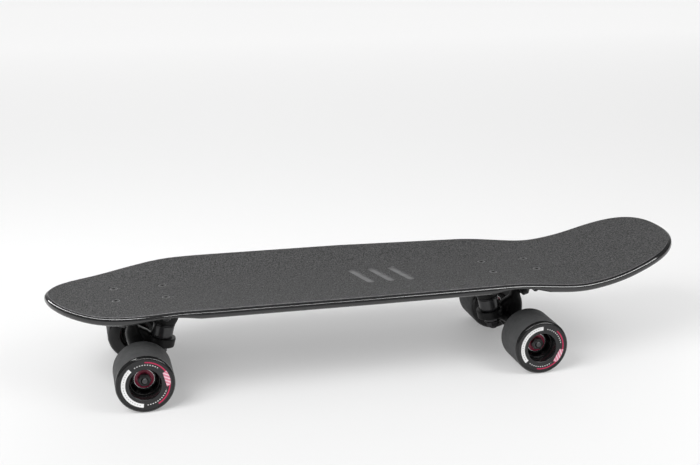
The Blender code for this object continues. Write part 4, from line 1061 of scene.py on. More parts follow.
def bearing(low, high):
    """A bearing between two heights, with its shields' faces numbered 1."""
    shapes = [turned(ring_profile(OUTER_LAND, BEARING_R, low, high, RING_EDGE), 96)]
    shapes.append(turned(ring_profile(AXLE_R + SEAT_GAP, INNER_LAND, low, high, RING_EDGE), 64))
    for face_at, inward in ((low, 1), (high, -1)):
        step, floor, back = (face_at + inward * depth for depth in (0.0004, 0.0007, 0.0011))
        profile = [(INNER_LAND, floor), (INNER_LAND + 0.0010, floor), (INNER_LAND + 0.0014, step)]
        profile += [(OUTER_LAND - 0.0005, step), (OUTER_LAND, floor), (OUTER_LAND, back)]
        shapes.append(turned(profile + [(INNER_LAND, back)], 96))

    def shield(face):
        radius, z = from_axis(face)
        is_shield = AXLE_R + 0.0022 < radius < OUTER_LAND and len(face.verts) == 4
        return 1 if is_shield and low < z < high else 0

    return painted(joined(*shapes), shield)


inner, outer = bearing(-bearing_far, -bearing_near), bearing(bearing_near, bearing_far)
finishes = [ring_steel, shield_red]
on_wheels(
    "wheel",
    ("inner_bearing_rings", inner, "bearing_steel", finishes, "inner_bearing"),
    ("outer_bearing_rings", outer, "bearing_steel", finishes, "outer_bearing"),
)

# %% [markdown]
# A hexagon nut starts as a hexagonal bar. Chamfering it with a cone at both ends leaves the curved
# corners that every nut shows. Its bore is plain, because the rod in it hides its thread. On the rods
# the thread is drawn as fine grooves.

# %% Nuts and threads
CONE_FLAT_SHARE, CONE_SLOPE = 0.47, math.tan(math.radians(30))
COLLAR_SHARE, INSERT_SHARE = 0.44, 0.35


def threaded(radius, low, high, pitch, depth):
    """Profile points along a threaded rod, from low to high."""
    points = []
    for number in range(int((high - low) / pitch)):
        start = low + number * pitch
        points += [(radius - depth, start)]
        points += [(radius, start + 0.45 * pitch), (radius, start + 0.55 * pitch)]
    return points + [(radius - depth, high)]


def chamfer_cone(across, at, outwards):
    """A ring with a slanted inside that takes the corners off a hexagonal bar's end."""
    flat = CONE_FLAT_SHARE * across
    profile = [(flat, at + outwards * 0.00001), (across, at - outwards * (across - flat) * CONE_SLOPE)]
    return turned(profile + [(across, at + outwards * 0.002), (flat, at + outwards * 0.002)], 48)


def lock_nut(across, low, high, bore, collar):
    """A hexagon nut whose high end carries a round collar with a nylon ring in it, numbered 1."""
    rim, ring, foot = COLLAR_SHARE * across, INSERT_SHARE * across, high - collar
    cutters = [chamfer_cone(across, low, -1), chamfer_cone(across, foot, 1)]
    cutters.append(cylinder(bore, low - MM, foot + MM, steps=32))
    nut = carved(prism(hexagon(across), low, foot), cut=cutters)
    shell = [(ring, foot - 0.0004), (rim, foot - 0.0004), (rim, high - 0.0004)]
    shell += [(rim - 0.0006, high), (ring, high)]
    insert = [(bore, foot - 0.0003), (ring, foot - 0.0003), (ring, high - 0.0004)]
    insert += [(bore + 0.0002, high - 0.0002)]
    return joined(joined(nut, turned(shell, 48)), turned(insert, 48))


AXLE_NUT_ACROSS, AXLE_NUT_HIGH, AXLE_NUT_COLLAR = 0.0127, 0.0050, 0.0014
SPEED_RING_R, SPEED_RING_THICK, THREAD_PLAY = 0.0060, 0.0010, 0.0001
ring_at = bearing_far + SEAT_GAP
ring_end = ring_at + SPEED_RING_THICK
nut_at = ring_end + SEAT_GAP
nut_end = nut_at + AXLE_NUT_HIGH
axle_nut = lock_nut(AXLE_NUT_ACROSS, nut_at, nut_end, AXLE_R + THREAD_PLAY, AXLE_NUT_COLLAR)
speed_ring = turned(ring_profile(AXLE_R + SEAT_GAP, SPEED_RING_R, ring_at, ring_end, RING_EDGE), 64)
on_wheels(
    "truck",
    ("lock_nut", axle_nut, "zinc_steel", [dark_zinc, nylon], "axle_nut"),
    ("speed_washer", speed_ring, "zinc_steel", [dark_zinc], "speed_ring"),
)

# %% [markdown]
# ## Places on a truck
# The ring of the hanger turns about the line from the ring's middle to the pivot. Both come from the
# steering joint, in the truck's own coordinates. The kingpin leans the other way, at a set angle.

# %% Read the truck's places
KINGPIN_LEAN = math.radians(14.0)
PIVOT_RUN, PLATE_THICK = 0.0363, 0.0055

to_truck = truck_place["rear"].inverted()
RING_CENTRE = to_truck @ joint_at["rear_steering"]
steer_axis = joint_axis["rear_steering"]
steer_tilt = math.atan2(steer_axis.x, steer_axis.z)
PIVOT_CENTRE = RING_CENTRE + PIVOT_RUN / steer_axis.x * steer_axis
hub_in_truck = to_truck @ hub_at["rear", "right"]
AXLE_CENTRE = Vector((hub_in_truck.x, 0, hub_in_truck.z))
along_kingpin = Matrix.Translation(RING_CENTRE) @ Matrix.Rotation(-KINGPIN_LEAN, 4, "Y")
along_steer = Matrix.Translation(PIVOT_CENTRE) @ Matrix.Rotation(steer_tilt, 4, "Y")
along_axle = Matrix.Translation(AXLE_CENTRE) @ Matrix.Rotation(-math.pi / 2, 4, "X")
UPSIDE_DOWN = Matrix.Rotation(math.pi, 4, "X")
bolt_spots = [to_truck @ bolt_at["rear", number] for number in BOLTS]
plate_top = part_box("rear_baseplate")[1].z
plate_under = plate_top - PLATE_THICK
half_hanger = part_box("rear_hanger")[1].y
for name, point in (("ring", RING_CENTRE), ("pivot", PIVOT_CENTRE), ("axle", AXLE_CENTRE)):
    print(name, "in mm:", [round(part / MM, 1) for part in point])

# %% [markdown]
# The axle is one rod through both wheels, with threaded ends and a turned collar that holds each inner
# bearing. One half of its section is written down and mirrored.

# %% Model the axles
AXLE_PITCH, AXLE_GROOVE = 0.0010, 0.0004
axle_end = hub_y + nut_end + 0.0010
thread_start = hub_y + nut_at - 0.001
collar_low = half_hanger + SEAT_GAP
collar_high = collar_low + SPEED_RING_THICK
collar = ring_profile(AXLE_R, SPEED_RING_R, collar_low, collar_high, RING_EDGE)
half_axle = [(AXLE_R, 0.9 * half_hanger), (AXLE_R, collar_low), *collar[2:6], (AXLE_R, collar_high)]
half_axle += [(AXLE_R, thread_start)]
half_axle += threaded(AXLE_R, thread_start, axle_end - 0.0006, AXLE_PITCH, AXLE_GROOVE)
half_axle += [(AXLE_R - 0.0012, axle_end), (0, axle_end)]
axle = turned(mirrored(half_axle), 64, along_axle)
on_trucks("axle_rod", axle, "truck", "zinc_steel", [dark_zinc], "axle")

# %% [markdown]
# ## Deck bolts
# Each truck hangs on four countersunk bolts. Their heads sit flush in the grip tape with a hexagonal
# socket for the key, and a lock nut under the baseplate holds each. The black finish of the heads is
# about as grey as the grit, so what shows is the socket, whose near black is painted shade for its
# recess, and the rim, which shoes and keys have rubbed down to the steel.

# %% Blackened and worn finishes, and painted shade for the sockets
def black_finish(name, colour, roughness):
    """A rough black coating with paler dust on it."""
    return finish(
        name, colour, roughness, (130.0, 0.06, 0.08), (1100.0, 0.22, 0.00012, 4.0),
        (60.0, 5.0, 1.0, 1.5), Specular_IOR_Level=0.22,
    )


def worn_head(name, colour):
    """A coating that shoes have rubbed."""
    return finish(
        name, colour, 0.6, (700.0, 0.1, 0.1), (2500.0, 0.15, 0.0001), (900.0, 3.0, 0.8, 1.0),
        Specular_IOR_Level=0.2,
    )


worn_black = worn_head("worn black bolt head", (0.070, 0.070, 0.071))
rubbed_rim = worn_head("rubbed bolt rim", (0.19, 0.19, 0.19))
# The socket's near black is painted shade for its recess, darker than the head's own black.
socket_painted_shade = black_finish("socket painted shade", (0.004, 0.004, 0.004), 0.6)
print("bolt finishes:", worn_black.name, rubbed_rim.name, socket_painted_shade.name)

# %% [markdown]
# Bolt and nut are one piece here, because they are one in the solid model. The bolts stopped at
# different turns when they were tightened, so no two sockets are alike.

# %% Model the deck bolts
BOLT_R, HEAD_R, HEAD_EDGE = 0.0024, 0.0046, 0.0003
DECK_NUT_ACROSS, DECK_NUT_HIGH, DECK_NUT_COLLAR = 0.0095, 0.0055, 0.0014
BOLT_PITCH, BOLT_GROOVE = 0.0008, 0.0003
SOCKET_ACROSS, SOCKET_DEEP, RUBBED_FROM = 0.0036, 0.0024, 0.0038
TURN_STEP, REAR_TURN = 31, 10
bolt_low, bolt_high = (corner_point.z for corner_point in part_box("rear_deck_bolt_1"))


def hex_socket(top):
    """The pocket for a hexagonal key, with a flat floor."""
    steps = ((top - SOCKET_DEEP, 0.0), (top - 0.0002, 0.0), (top, 0.0002), (top + 0.0004, 0.0006))
    return drawn([at_height(hexagon(SOCKET_ACROSS, grow), at) for at, grow in steps])


def bolt_part(face):
    """Number 3 for the socket's painted shade, 4 for the rubbed rim and 0 for the rest of the bolt."""
    radius, z = from_axis(face)
    inside = radius < 0.6 * SOCKET_ACROSS and z < bolt_high - 0.0001
    if inside and z > bolt_high - SOCKET_DEEP - 0.0001:
        return 3
    return 4 if radius > RUBBED_FROM and z > bolt_high - HEAD_EDGE else 0


def deck_bolt():
    """A bolt with its lock nut, whose metal is number 1 and whose nylon is number 2."""
    nut_high = plate_under - SEAT_GAP
    rim = bolt_high - HEAD_EDGE
    profile = [(0, bolt_low), (BOLT_R - 0.0008, bolt_low)]
    profile += threaded(BOLT_R, bolt_low + 0.0003, nut_high, BOLT_PITCH, BOLT_GROOVE)
    profile += [(BOLT_R, rim - HEAD_R + BOLT_R), (HEAD_R, rim)]
    profile += corner((HEAD_R - HEAD_EDGE, rim), HEAD_EDGE, 0, 90, 4)
    profile += [(RUBBED_FROM, bolt_high), (0, bolt_high)]
    bolt = painted(carved(turned(profile, 32), cut=[hex_socket(bolt_high)]), bolt_part)
    size = (DECK_NUT_ACROSS, -nut_high, DECK_NUT_HIGH - nut_high, BOLT_R + THREAD_PLAY, DECK_NUT_COLLAR)
    nut = painted(placed(lock_nut(*size), UPSIDE_DOWN), lambda face: face.material_index + 1)
    return joined(bolt, nut, renumber=False)


bolt = deck_bolt()
bolt_finishes = [worn_black, black_steel, nylon, socket_painted_shade, rubbed_rim]
for (end, number), place in bolt_at.items():
    name = f"{end}_deck_bolt_{number}"
    turn = math.radians(TURN_STEP * number + (REAR_TURN if end == "rear" else 0))
    made = placed(bolt, Matrix.Translation(place) @ Matrix.Rotation(turn, 4, "Z"))
    new_piece(f"{name}_with_socket", made, "board", "dark_steel", bolt_finishes, name)
print("deck bolts:", pieces_made[-1])

# %% [markdown]
# ## Truck castings
# The hanger and the baseplate are die cast and coated black. A casting has no sharp inside corner, so
# each is drawn as a few lofts, fused, and then remeshed on a fine grid and smoothed, which rounds
# every junction as the mould does. The bored and faced places are cut afterwards and stay crisp.

# %% Helpers and finishes for castings
def ellipse_loop(centre, tilt, half_x, half_y, power=2.0, count=40):
    """A superellipse across a direction that leans by tilt from +Z towards +X."""
    points = []
    for number in range(count):
        turn = 2 * math.pi * number / count
        x = math.copysign(abs(math.cos(turn)) ** (2 / power), math.cos(turn)) * half_x
        y = math.copysign(abs(math.sin(turn)) ** (2 / power), math.sin(turn)) * half_y
        points.append(centre + Vector((x * math.cos(tilt), y, -x * math.sin(tilt))))
    return points


def cast_soft(bm, grid, rounds):
    """Remeshes a fused shape on a grid and smooths it, so that inside corners fill in."""
    helper = new_object("casting", mesh_from(bm, "casting"))
    remesh = helper.modifiers.new("grid", "REMESH")
    remesh.mode = "VOXEL"
    remesh.voxel_size = grid
    smooth = helper.modifiers.new("smooth", "SMOOTH")
    smooth.factor = 0.5
    smooth.iterations = rounds
    return baked(helper)


coated_hanger = black_finish("black coated hanger", (0.004, 0.004, 0.0042), 0.42)
coated_plate = black_finish("black coated baseplate", (0.006, 0.006, 0.0063), 0.44)
print("cast metal:", coated_hanger.name, "and", coated_plate.name)

# %% [markdown]
# The hanger's beam holds the axle. From its middle rises a neck that ends in the pivot pin, and inboard
# of it lies the ring that the two bushings squeeze. A crest runs from the ring up to the neck.

# %% Model the hangers
BEAM_END_R, BEAM_MIDDLE_R = 0.0086, 0.0108
RING_R, RING_HIGH, RING_WEB, RING_HOLE_R, POCKET_R = 0.0163, 0.0100, 0.0050, 0.0080, 0.0134
CREST_WIDE, CREST_ROUND = 0.0130, 0.0050
PIN_R, PIN_REACH, CUP_MOUTH, CUP_DEPTH = 0.0060, 0.0050, 0.0030, 0.0105
BUSHING_R, ROAD_BUSHING_TOP, ROAD_BUSHING_BOTTOM = 0.0120, 0.0110, 0.0092
BUSHING_POCKET_END = 0.0207
HANGER_GRID, HANGER_ROUNDS = 0.0006, 5


def hanger_beam():
    half, end = half_hanger, BEAM_END_R
    side = [(BEAM_MIDDLE_R, 0.0), (BEAM_MIDDLE_R, 0.25 * half), (end + 0.0012, 0.45 * half)]
    side += [(end + 0.0004, 0.6 * half), (end, half - 0.0008), (end - 0.0008, half), (0.0, half)]
    return turned(mirrored(side), 48, along_axle)


def hanger_neck():
    root = along_steer @ Vector((0.0, 0.0, -CUP_MOUTH - 0.0024))
    loops = [
        ellipse_loop(AXLE_CENTRE + Vector((out, 0, up)), tilt, half_x, half_y, 2.3)
        for out, up, tilt, half_x, half_y in (
            (0.0006, 0.0015, 0.00, 0.0090, 0.0340),
            (0.0018, 0.0080, 0.05, 0.0094, 0.0255),
            (0.0031, 0.0150, 0.12, 0.0094, 0.0165),
            (0.0050, 0.0220, 0.25, 0.0088, 0.0112),
            (0.0060, 0.0280, 0.45, 0.0080, 0.0084),
        )
    ]
    return drawn(loops + [ellipse_loop(root, steer_tilt, PIN_R + 0.0012, PIN_R + 0.0012)])


def hanger_pin():
    low = -CUP_MOUTH - 0.0060
    profile = [(0, low), (PIN_R, low), (PIN_R, PIN_REACH - 0.0022)]
    profile += [(0.85 * PIN_R, PIN_REACH - 0.0008), (0.58 * PIN_R, PIN_REACH), (0, PIN_REACH)]
    return turned(profile, 48, along_steer)


def hanger_crest():
    """The rib that climbs from the ring to the neck, with its top edges rounded."""
    top = [(-0.0105, 0.0205), (-0.0070, 0.0242), (-0.0030, 0.0264), (0.0010, 0.0286), (0.0045, 0.0305)]
    rest = [(0.0095, 0.0330), (0.0120, 0.0240), (0.0080, 0.0080), (0.0020, 0.0010), (-0.0080, 0.0020)]
    rest += [(-0.0150, 0.0080)]
    outlines = []
    for step in range(-5, 6):
        y = CREST_WIDE / 2 * step / 5
        over = max(abs(y) + CREST_ROUND - CREST_WIDE / 2, 0.0)
        drop = CREST_ROUND - math.sqrt(CREST_ROUND**2 - over**2)
        side = [(x, z - 0.9 * drop) for x, z in top] + rest
        outlines.append([Vector((x, y, AXLE_CENTRE.z + z)) for x, z in side])
    return drawn(outlines)


def hanger_yoke():
    """The arm from the ring to the beam."""
    to_beam = AXLE_CENTRE + Vector((0, 0, 0.0030)) - RING_CENTRE
    lean = math.atan2(to_beam.x, to_beam.z)
    sections = ((0.20, 0.0046, 0.0158, 3.0), (0.50, 0.0052, 0.0172, 3.0))
    sections += ((0.78, 0.0068, 0.0225, 2.8), (1.00, 0.0080, 0.0280, 2.6))
    return drawn([
        ellipse_loop(RING_CENTRE + share * to_beam, lean, thick, wide, power)
        for share, thick, wide, power in sections
    ])


road_r, half_ring = ROAD_BUSHING_TOP + SEAT_GAP, RING_HIGH / 2
road_pocket = [(0, -BUSHING_POCKET_END), (POCKET_R, -BUSHING_POCKET_END)]
road_pocket += [(POCKET_R, -half_ring - POCKET_R + road_r), (road_r, -half_ring)]
road_pocket += [(road_r, -RING_WEB / 2), (0, -RING_WEB / 2)]
ring = cylinder(RING_R, -half_ring, half_ring, along_kingpin)
hanger = carved(hanger_beam(), added=[hanger_neck(), hanger_pin(), hanger_crest(), ring, hanger_yoke()])
hanger_bores = [
    cylinder(BUSHING_R + SEAT_GAP, RING_WEB / 2, BUSHING_POCKET_END, along_kingpin),
    turned(road_pocket, 64, along_kingpin),
    cylinder(RING_HOLE_R, -RING_HIGH, RING_HIGH, along_kingpin),
    cylinder(AXLE_R + THREAD_PLAY, -1.1 * half_hanger, 1.1 * half_hanger, along_axle),
]
hanger = carved(cast_soft(hanger, HANGER_GRID, HANGER_ROUNDS), cut=hanger_bores)
on_trucks("hanger_casting", hanger, "truck", "black_cast", [coated_hanger], "hanger")

# %% [markdown]
# The baseplate is a flat plate with a boss that holds the kingpin and a housing that holds the pivot
# cup. A rib joins the two.

# %% Model the baseplates
PLATE_LOW_X, PLATE_HIGH_X, PLATE_WIDE, PLATE_CORNER = -0.0455, 0.0375, 0.056, 0.008
BOSS_R, BOSS_AT, BOSS_TOP_LONG, BOSS_TOP_WIDE = 0.0125, 0.0207, 0.035, 0.028
CUP_R = PIN_R + SEAT_GAP + 0.0018
HOUSING_R = CUP_R + SEAT_GAP + 0.0020
HOUSING_SWELL = 0.0021
RIB_WIDE, RIB_DEEP = 0.009, 0.0042
KINGPIN_R = 0.00475
PLATE_EDGE, SUNK_IN, BOLT_PLAY, CUTTER_PAST = 0.0015, 0.0022, 0.0004, 0.01
PLATE_GRID, PLATE_ROUNDS = 0.00055, 4


def rounded_box(low_x, high_x, wide, radius, steps=8):
    """The outline of a rectangle with round corners, centred on y = 0."""
    left, right, half = low_x + radius, high_x - radius, wide / 2 - radius
    points = []
    for quarter, centre in enumerate(((right, half), (left, half), (left, -half), (right, -half))):
        points += corner(centre, radius, 90 * quarter, 90 * quarter + 90, steps)
    return points


def slab(margin, edge, low, high, soft_top):
    """The baseplate's outline, wider by a margin, as a plate with its lower edge chamfered, and its
    upper edge as well if asked."""
    low_x, high_x, wide = PLATE_LOW_X - margin, PLATE_HIGH_X + margin, PLATE_WIDE + 2 * margin
    broad = rounded_box(low_x, high_x, wide, PLATE_CORNER)
    narrow = rounded_box(low_x + edge, high_x - edge, wide - 2 * edge, PLATE_CORNER - edge)
    outlines = [at_height(narrow, low), at_height(broad, low + edge)]
    if soft_top:
        return drawn(outlines + [at_height(broad, high - edge), at_height(narrow, high)])
    return drawn(outlines + [at_height(broad, high)])


def bolt_holes(low, high):
    """Cutters for the four deck bolts through a plate between two heights."""
    return [
        cylinder(BOLT_R + BOLT_PLAY, low - CUTTER_PAST, high + CUTTER_PAST, Matrix.Translation(spot), 32)
        for spot in bolt_spots
    ]


def plate_boss():
    end = along_kingpin @ Vector((0, 0, BOSS_AT))
    swell = end + Vector((-0.0008, 0, 0.0045))
    top = Vector((PLATE_LOW_X + PLATE_EDGE + BOSS_TOP_LONG / 2, 0, plate_under + SUNK_IN))
    half_x, half_y = BOSS_TOP_LONG / 2, BOSS_TOP_WIDE / 2
    return drawn([
        ellipse_loop(end, -KINGPIN_LEAN, BOSS_R, BOSS_R),
        ellipse_loop(swell, -KINGPIN_LEAN / 2, BOSS_R + 0.0021, BOSS_R + 0.0006, 2.1),
        ellipse_loop(top - Vector((0, 0, 0.0045)), 0.0, half_x - 0.0006, half_y - 0.0004, 2.3),
        ellipse_loop(top, 0.0, half_x, half_y, 2.4),
    ])


def plate_housing():
    back = CUP_DEPTH - CUP_MOUTH
    swell = HOUSING_R + HOUSING_SWELL
    tail = Vector((PIVOT_CENTRE.x + 0.0128, 0, plate_under - 0.0020))
    steep = math.radians(72)
    loops = [
        ellipse_loop(along_steer @ Vector((0, 0, at)), steer_tilt, half, half)
        for at, half in ((-CUP_MOUTH, HOUSING_R), (0.4 * back, swell), (back - 0.0010, swell - 0.0024))
    ]
    loops += [ellipse_loop(tail, steep, 0.0054, 0.0080)]
    return drawn(loops + [ellipse_loop(tail + Vector((0.0035, 0, 0.0024)), steep, 0.0034, 0.0060)])


def plate_rib():
    low_x = PLATE_LOW_X + PLATE_EDGE + BOSS_TOP_LONG / 2
    points = rounded_box(low_x, PIVOT_CENTRE.x - HOUSING_R / 2, RIB_WIDE, RIB_WIDE / 4, 4)
    return prism(points, plate_under - RIB_DEEP, plate_under + SUNK_IN)


plate = slab(0.0, PLATE_EDGE, plate_under, plate_top, soft_top=False)
plate = carved(plate, added=[plate_boss(), plate_housing(), plate_rib()])
plate_bores = [
    cylinder(KINGPIN_R + SEAT_GAP, 0.0, 0.06, along_kingpin),
    cylinder(CUP_R + SEAT_GAP, -2 * CUP_DEPTH, CUP_DEPTH - CUP_MOUTH + SEAT_GAP, along_steer),
    *bolt_holes(plate_under, plate_top),
]
plate = carved(cast_soft(plate, PLATE_GRID, PLATE_ROUNDS), cut=plate_bores)
on_trucks("baseplate_casting", plate, "board", "black_cast", [coated_plate], "baseplate")

# %% [markdown]
# ## Kingpin, bushings and washers
# The kingpin clamps the ring between two urethane bushings. They are the springs of the truck: when
# the rider leans, the ring tilts and squeezes them.

# %% Kingpin and bushing materials
bushing_black = moulded_gloss("black bushing urethane", (0.020, 0.020, 0.022), 0.34, 0.25)
cup_plastic = moulded_gloss("black cup plastic", (0.022, 0.022, 0.023), 0.42, 0.0)
print("bushing and cup:", bushing_black.name, "and", cup_plastic.name)

# %% [markdown]
# Every part on the kingpin is spun about it, from the nut at the bottom to the head in the baseplate.
# Zero is the middle of the hanger's ring.

# %% Parts on the kingpin
SEAT_AT = RING_WEB / 2 + SEAT_GAP
BOARD_BUSHING_LONG, ROAD_BUSHING_LONG = 0.0158, 0.0078
WASHER_THICK, BOARD_WASHER_R, ROAD_WASHER_R, WASHER_EDGE = 0.0015, 0.0124, 0.0095, 0.0004
NUT_ACROSS, NUT_HIGH, NUT_COLLAR, KINGPIN_PITCH = 0.0143, 0.0070, 0.0018, 0.00106
board_end, road_end = SEAT_AT + BOARD_BUSHING_LONG, -SEAT_AT - ROAD_BUSHING_LONG
board_washer_at = board_end + SEAT_GAP
road_washer_at = road_end - SEAT_GAP - WASHER_THICK
king_nut_at = road_washer_at - SEAT_GAP - NUT_HIGH
king_nut_top = king_nut_at + NUT_HIGH
king_end = king_nut_at - 0.0018
king_head_at = (plate_top - RING_CENTRE.z) / math.cos(KINGPIN_LEAN) - 0.008
around_kingpin = KINGPIN_R + SEAT_GAP


def barrel_bushing():
    """The tall bushing between the ring and the baseplate."""
    inner, low, high = around_kingpin, SEAT_AT, board_end
    profile = [(inner + 0.0003, low), (BUSHING_R - 0.0006, low)]
    profile += corner((BUSHING_R - 0.0008, low + 0.0008), 0.0008, 300, 360, 4)
    profile += [(BUSHING_R, low + (high - low) * share) for share in (0.3, 0.45, 0.55, 0.7)]
    profile += corner((BUSHING_R - 0.0008, high - 0.0008), 0.0008, 0, 60, 4)
    profile += [(BUSHING_R - 0.0006, high), (inner + 0.0003, high), (inner, high - 0.0003)]
    return turned(profile, 64)


def cone_bushing():
    """The short bushing on the road side, which tapers to its washer."""
    inner, low, high = around_kingpin, road_end, -SEAT_AT
    profile = [(inner, low + 0.0003), (inner + 0.0003, low), (ROAD_BUSHING_BOTTOM - 0.0008, low)]
    profile += corner((ROAD_BUSHING_BOTTOM - 0.0007, low + 0.0008), 0.0008, 300, 350, 4)
    profile += [(ROAD_BUSHING_BOTTOM + 0.0009, low + 0.0035), (ROAD_BUSHING_TOP - 0.0002, high - 0.0024)]
    profile += [(ROAD_BUSHING_TOP, high - 0.0018), (ROAD_BUSHING_TOP, high), (inner, high)]
    return turned(profile, 64)


def kingpin():
    profile = [(0, king_end), (KINGPIN_R - 0.0010, king_end)]
    profile += threaded(KINGPIN_R, king_end + 0.0004, king_nut_top, KINGPIN_PITCH, 0.0004)
    profile += [(KINGPIN_R, king_nut_top + 0.0006), (KINGPIN_R, king_head_at), (0, king_head_at)]
    return turned(profile, 48)


def king_nut():
    nut = lock_nut(NUT_ACROSS, -king_nut_top, -king_nut_at, KINGPIN_R + THREAD_PLAY, NUT_COLLAR)
    return placed(nut, UPSIDE_DOWN)


def pivot_cup():
    inner, mouth = PIN_R + SEAT_GAP, -CUP_MOUTH - 0.0006
    profile = corner((CUP_R - 0.0006, mouth + 0.0006), 0.0006, 360, 270, 3)
    profile += corner((inner + 0.0006, mouth + 0.0006), 0.0006, 270, 180, 3)
    return turned(profile + [(inner, 0.004), (0, 0.0055), (0, 0.007), (CUP_R, 0.007)], 64)


def washer(at, radius):
    return turned(ring_profile(around_kingpin, radius, at, at + WASHER_THICK, WASHER_EDGE), 64)


on_kingpin = (
    ("kingpin_bolt", kingpin(), "dark_steel", [black_steel], "kingpin"),
    ("kingpin_lock_nut", king_nut(), "zinc_steel", [black_steel, nylon], "kingpin_nut"),
    ("top_washer", washer(board_washer_at, BOARD_WASHER_R), "dark_steel", [black_steel],
     "boardside_washer"),
    ("bottom_washer", washer(road_washer_at, ROAD_WASHER_R), "dark_steel", [black_steel],
     "roadside_washer"),
)
bushings = (
    ("boardside_bushing", barrel_bushing(), SEAT_AT, board_end),
    ("roadside_bushing", cone_bushing(), -SEAT_AT, road_end),
)
cup = pivot_cup()
print("shapes on the kingpin:", [part[0] for part in on_kingpin + bushings])

# %% [markdown]
# All of them sit on the board, apart from the bushings, which ride on no body.

# %% Place the parts on the kingpin
for end in ENDS:
    place = truck_place[end] @ along_kingpin
    for name, shape, slot, materials, cad_name in on_kingpin:
        new_piece(f"{end}_{name}", placed(shape, place), "board", slot, materials, f"{end}_{cad_name}")
    for name, shape, near, far in bushings:
        bushing = new_piece(
            f"{end}_{name}_urethane", placed(shape, place), None, "bushing_urethane",
            [bushing_black], f"{end}_{name}",
        )
        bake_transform(bushing)
    made = placed(cup, truck_place[end] @ along_steer)
    new_piece(f"{end}_pivot_bush", made, "board", "black_plastic", [cup_plastic], f"{end}_pivot_cup")
print("kingpin parts:", pieces_made[-7:])

# %% [markdown]
# ## Riser pads
# A rubber pad lies between each baseplate and the deck. It lifts the deck away from the wheels and
# takes the buzz out of the road. Its moulded sides are plain, with softly broken edges.

# %% Model the riser pads
PAD_MARGIN, PAD_EDGE = 0.0005, 0.0006
riser_low, riser_high = (corner_point.z for corner_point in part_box("rear_riser"))
pad_rubber = finish(
    "black pad rubber", (0.018, 0.018, 0.019), 0.75, (180.0, 0.09, 0.11), (1800.0, 0.25, 0.0001, 3.0)
)
pad = slab(PAD_MARGIN, PAD_EDGE, riser_low, riser_high, soft_top=True)
pad = carved(pad, cut=bolt_holes(riser_low, riser_high))
on_trucks("riser_pad", pad, "board", "black_rubber", [pad_rubber], "riser")

# %% [markdown]
# The spacers between the bearings never show from outside, so the solid model's own pieces stay, in
# zinc plated steel.

# %% Finish the carried-over pieces
for end, side in WHEELS:
    spacer = frame["nodes"][f"{end}_{side}_bearing_spacer"]
    spacer.data.materials.clear()
    spacer.data.materials.append(zinc_plate)
print("spacers in", zinc_plate.name + ":", len(WHEELS))

# %% [markdown]
# ## The studio
# The photograph shows the board on a white sweep that is lit on its own, so that it stays nearly white
# under the shadow too. The floor here glows a little for the same reason, more towards the back, and
# it is a shade darker on the side of the key lamp, where it would otherwise burn out.

# %% Floor
GLOW_FRONT, GLOW_BACK, GLOW_FROM_Y, GLOW_TO_Y = 0.22, 0.50, -0.2, 3.0
FLOOR_NEAR_LAMP, FLOOR_FAR_FROM_LAMP = (0.41, 0.41, 0.41), (0.72, 0.72, 0.72)
LAMP_FOOT = (-0.90, -1.00, 0.0)
SHADE_FROM, SHADE_TO, FLOOR_SIZE = 0.6, 1.6, 20.0


def studio_floor():
    made, tree, shader = new_material(
        "pale studio floor", FLOOR_NEAR_LAMP, 0.9, Specular_IOR_Level=0.0, Emission_Strength=1.0
    )
    place = object_place(tree)
    from_lamp = node(tree, "ShaderNodeVectorMath", {0: place, 1: LAMP_FOOT}, operation="DISTANCE")
    limits = {"From Min": SHADE_FROM, "From Max": SHADE_TO}
    share = node(tree, "ShaderNodeMapRange", {"Value": from_lamp.outputs["Value"], **limits})
    back = node(tree, "ShaderNodeSeparateXYZ", {"Vector": place}).outputs["Y"]
    limits = {"From Min": GLOW_FROM_Y, "From Max": GLOW_TO_Y, "To Min": GLOW_FRONT, "To Max": GLOW_BACK}
    shine = node(tree, "ShaderNodeMapRange", {"Value": back, **limits}).outputs["Result"]
    white = node(tree, "ShaderNodeCombineXYZ", {axis: shine for axis in "XYZ"})
    wire(shader, Base_Color=mixed(tree, share.outputs["Result"], FLOOR_NEAR_LAMP, FLOOR_FAR_FROM_LAMP))
    wire(shader, Roughness=uneven(tree, place, 3.0, 0.86, 0.94))
    wire(shader, Emission_Color=white.outputs["Vector"])
    return made


floor = bmesh.new()
bmesh.ops.create_grid(floor, x_segments=1, y_segments=1, size=FLOOR_SIZE)
floor_mesh = mesh_from(floor, "studio floor")
floor_mesh.materials.append(studio_floor())
floor_piece = new_object("studio_floor", floor_mesh)
print("floor:", floor_piece.name)

# %% [markdown]
# The key lamp is a softbox at the front left, near enough that the nose gets more light than the tail,
# and a weaker softbox fills from the front right. Gloss needs something to reflect, so a long narrow
# strip in front of the near side draws the bright line along the deck's rounded edge, and another
# behind the nose carries it on round the tip. The strips add no light to matt surfaces, so the shadows
# stay as soft as in the photograph. The sky glows evenly, with three soft lobes on top: the low bright
# wall behind, and faint ones in front and on the left. Gloss sees neither the key lamp nor much of the
# sky, because the room round the softboxes is dark, and so the lacquer stays black beside its line.

# %% Lamps
def new_lamp(name, energy, place, aim, size, size_y):
    """A rectangular area lamp at a place, aimed at a point."""
    data = bpy.data.lights.new(name, "AREA")
    data.energy = energy
    data.shape = "RECTANGLE"
    data.size = size
    data.size_y = size_y
    made = new_object(name, data)
    made.location = place
    made.rotation_euler = (Vector(aim) - Vector(place)).to_track_quat("-Z", "Y").to_euler()
    return made


def new_strip(name, energy, start, end, aim, width):
    """A narrow lamp from one end to the other, which only gloss reflects."""
    start, end = Vector(start), Vector(end)
    along = (end - start).normalized()
    middle = (start + end) / 2
    back = middle - Vector(aim)
    back = (back - back.dot(along) * along).normalized()
    made = new_lamp(name, energy, middle, aim, (end - start).length, width)
    made.rotation_euler = Matrix((along, back.cross(along), back)).transposed().to_euler()
    made.visible_diffuse = False
    return made


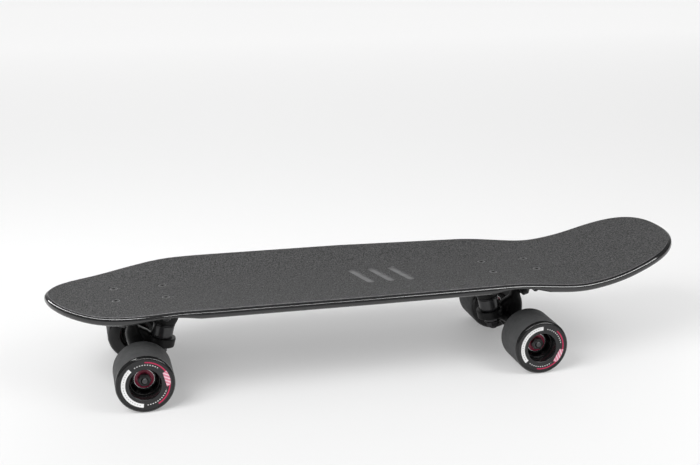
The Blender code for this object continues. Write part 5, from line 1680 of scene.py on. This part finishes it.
key_lamp = new_lamp("key_lamp", 21.0, (-1.05, -0.72, 0.95), (-0.1, 0.0, 0.05), 1.0, 1.0)
fill_lamp = new_lamp("fill_lamp", 9.5, (1.00, -0.95, 1.25), (0.1, 0.0, 0.05), 0.9, 0.9)
key_lamp.visible_glossy = False
rail_strip = new_strip(
    "rail_strip", 19.0, (-0.68, -0.95, 1.04), (1.60, -0.95, 1.04), (0.3, -0.1, 0.1), 0.11
)
nose_strip = new_strip(
    "nose_strip", 10.0, (-1.04, 0.90, 0.66), (-0.62, 0.00, 1.13), (-0.33, 0.0, 0.12), 0.12
)
print("lamps:", [light.name for light in bpy.data.lights])

# %% [markdown]
# Each lobe of the sky has a strength, a direction round the object and an angle above the floor.

# %% Sky
SOFT_LOBES = ((3.2, 75.0, 6.0), (0.5, 270.0, 25.0), (0.4, 180.0, 25.0))
LOBE_SHARPNESS, SKY_GLOW, GLOSS_SEES = 12.0, 0.42, 0.35

sky = bpy.data.worlds.new("soft studio sky")
bpy.context.scene.world = sky
sky.use_nodes = True
tree = sky.node_tree
direction = node(tree, "ShaderNodeTexCoord").outputs["Generated"]
glow = SKY_GLOW
for strength, around, up in SOFT_LOBES:
    around, up = math.radians(around), math.radians(up)
    towards = (math.cos(up) * math.cos(around), math.cos(up) * math.sin(around), math.sin(up))
    dot = node(tree, "ShaderNodeVectorMath", {0: direction, 1: towards}, operation="DOT_PRODUCT")
    fall = maths(tree, "MULTIPLY_ADD", dot.outputs["Value"], LOBE_SHARPNESS, -LOBE_SHARPNESS)
    glow = maths(tree, "MULTIPLY_ADD", maths(tree, "EXPONENT", fall), strength, glow)
is_gloss = node(tree, "ShaderNodeLightPath").outputs["Is Glossy Ray"]
seen = maths(tree, "MULTIPLY_ADD", is_gloss, GLOSS_SEES - 1.0, 1.0)
backdrop = tree.nodes["Background"]
backdrop.inputs["Color"].default_value = (1, 1, 1, 1)
tree.links.new(maths(tree, "MULTIPLY", glow, seen), backdrop.inputs["Strength"])
print("sky lobes:", len(SOFT_LOBES))

# %% [markdown]
# ## The largest piece
# The piece with the most faces is printed.

# %% Print the largest piece
print("most faces:", max(pieces_made))
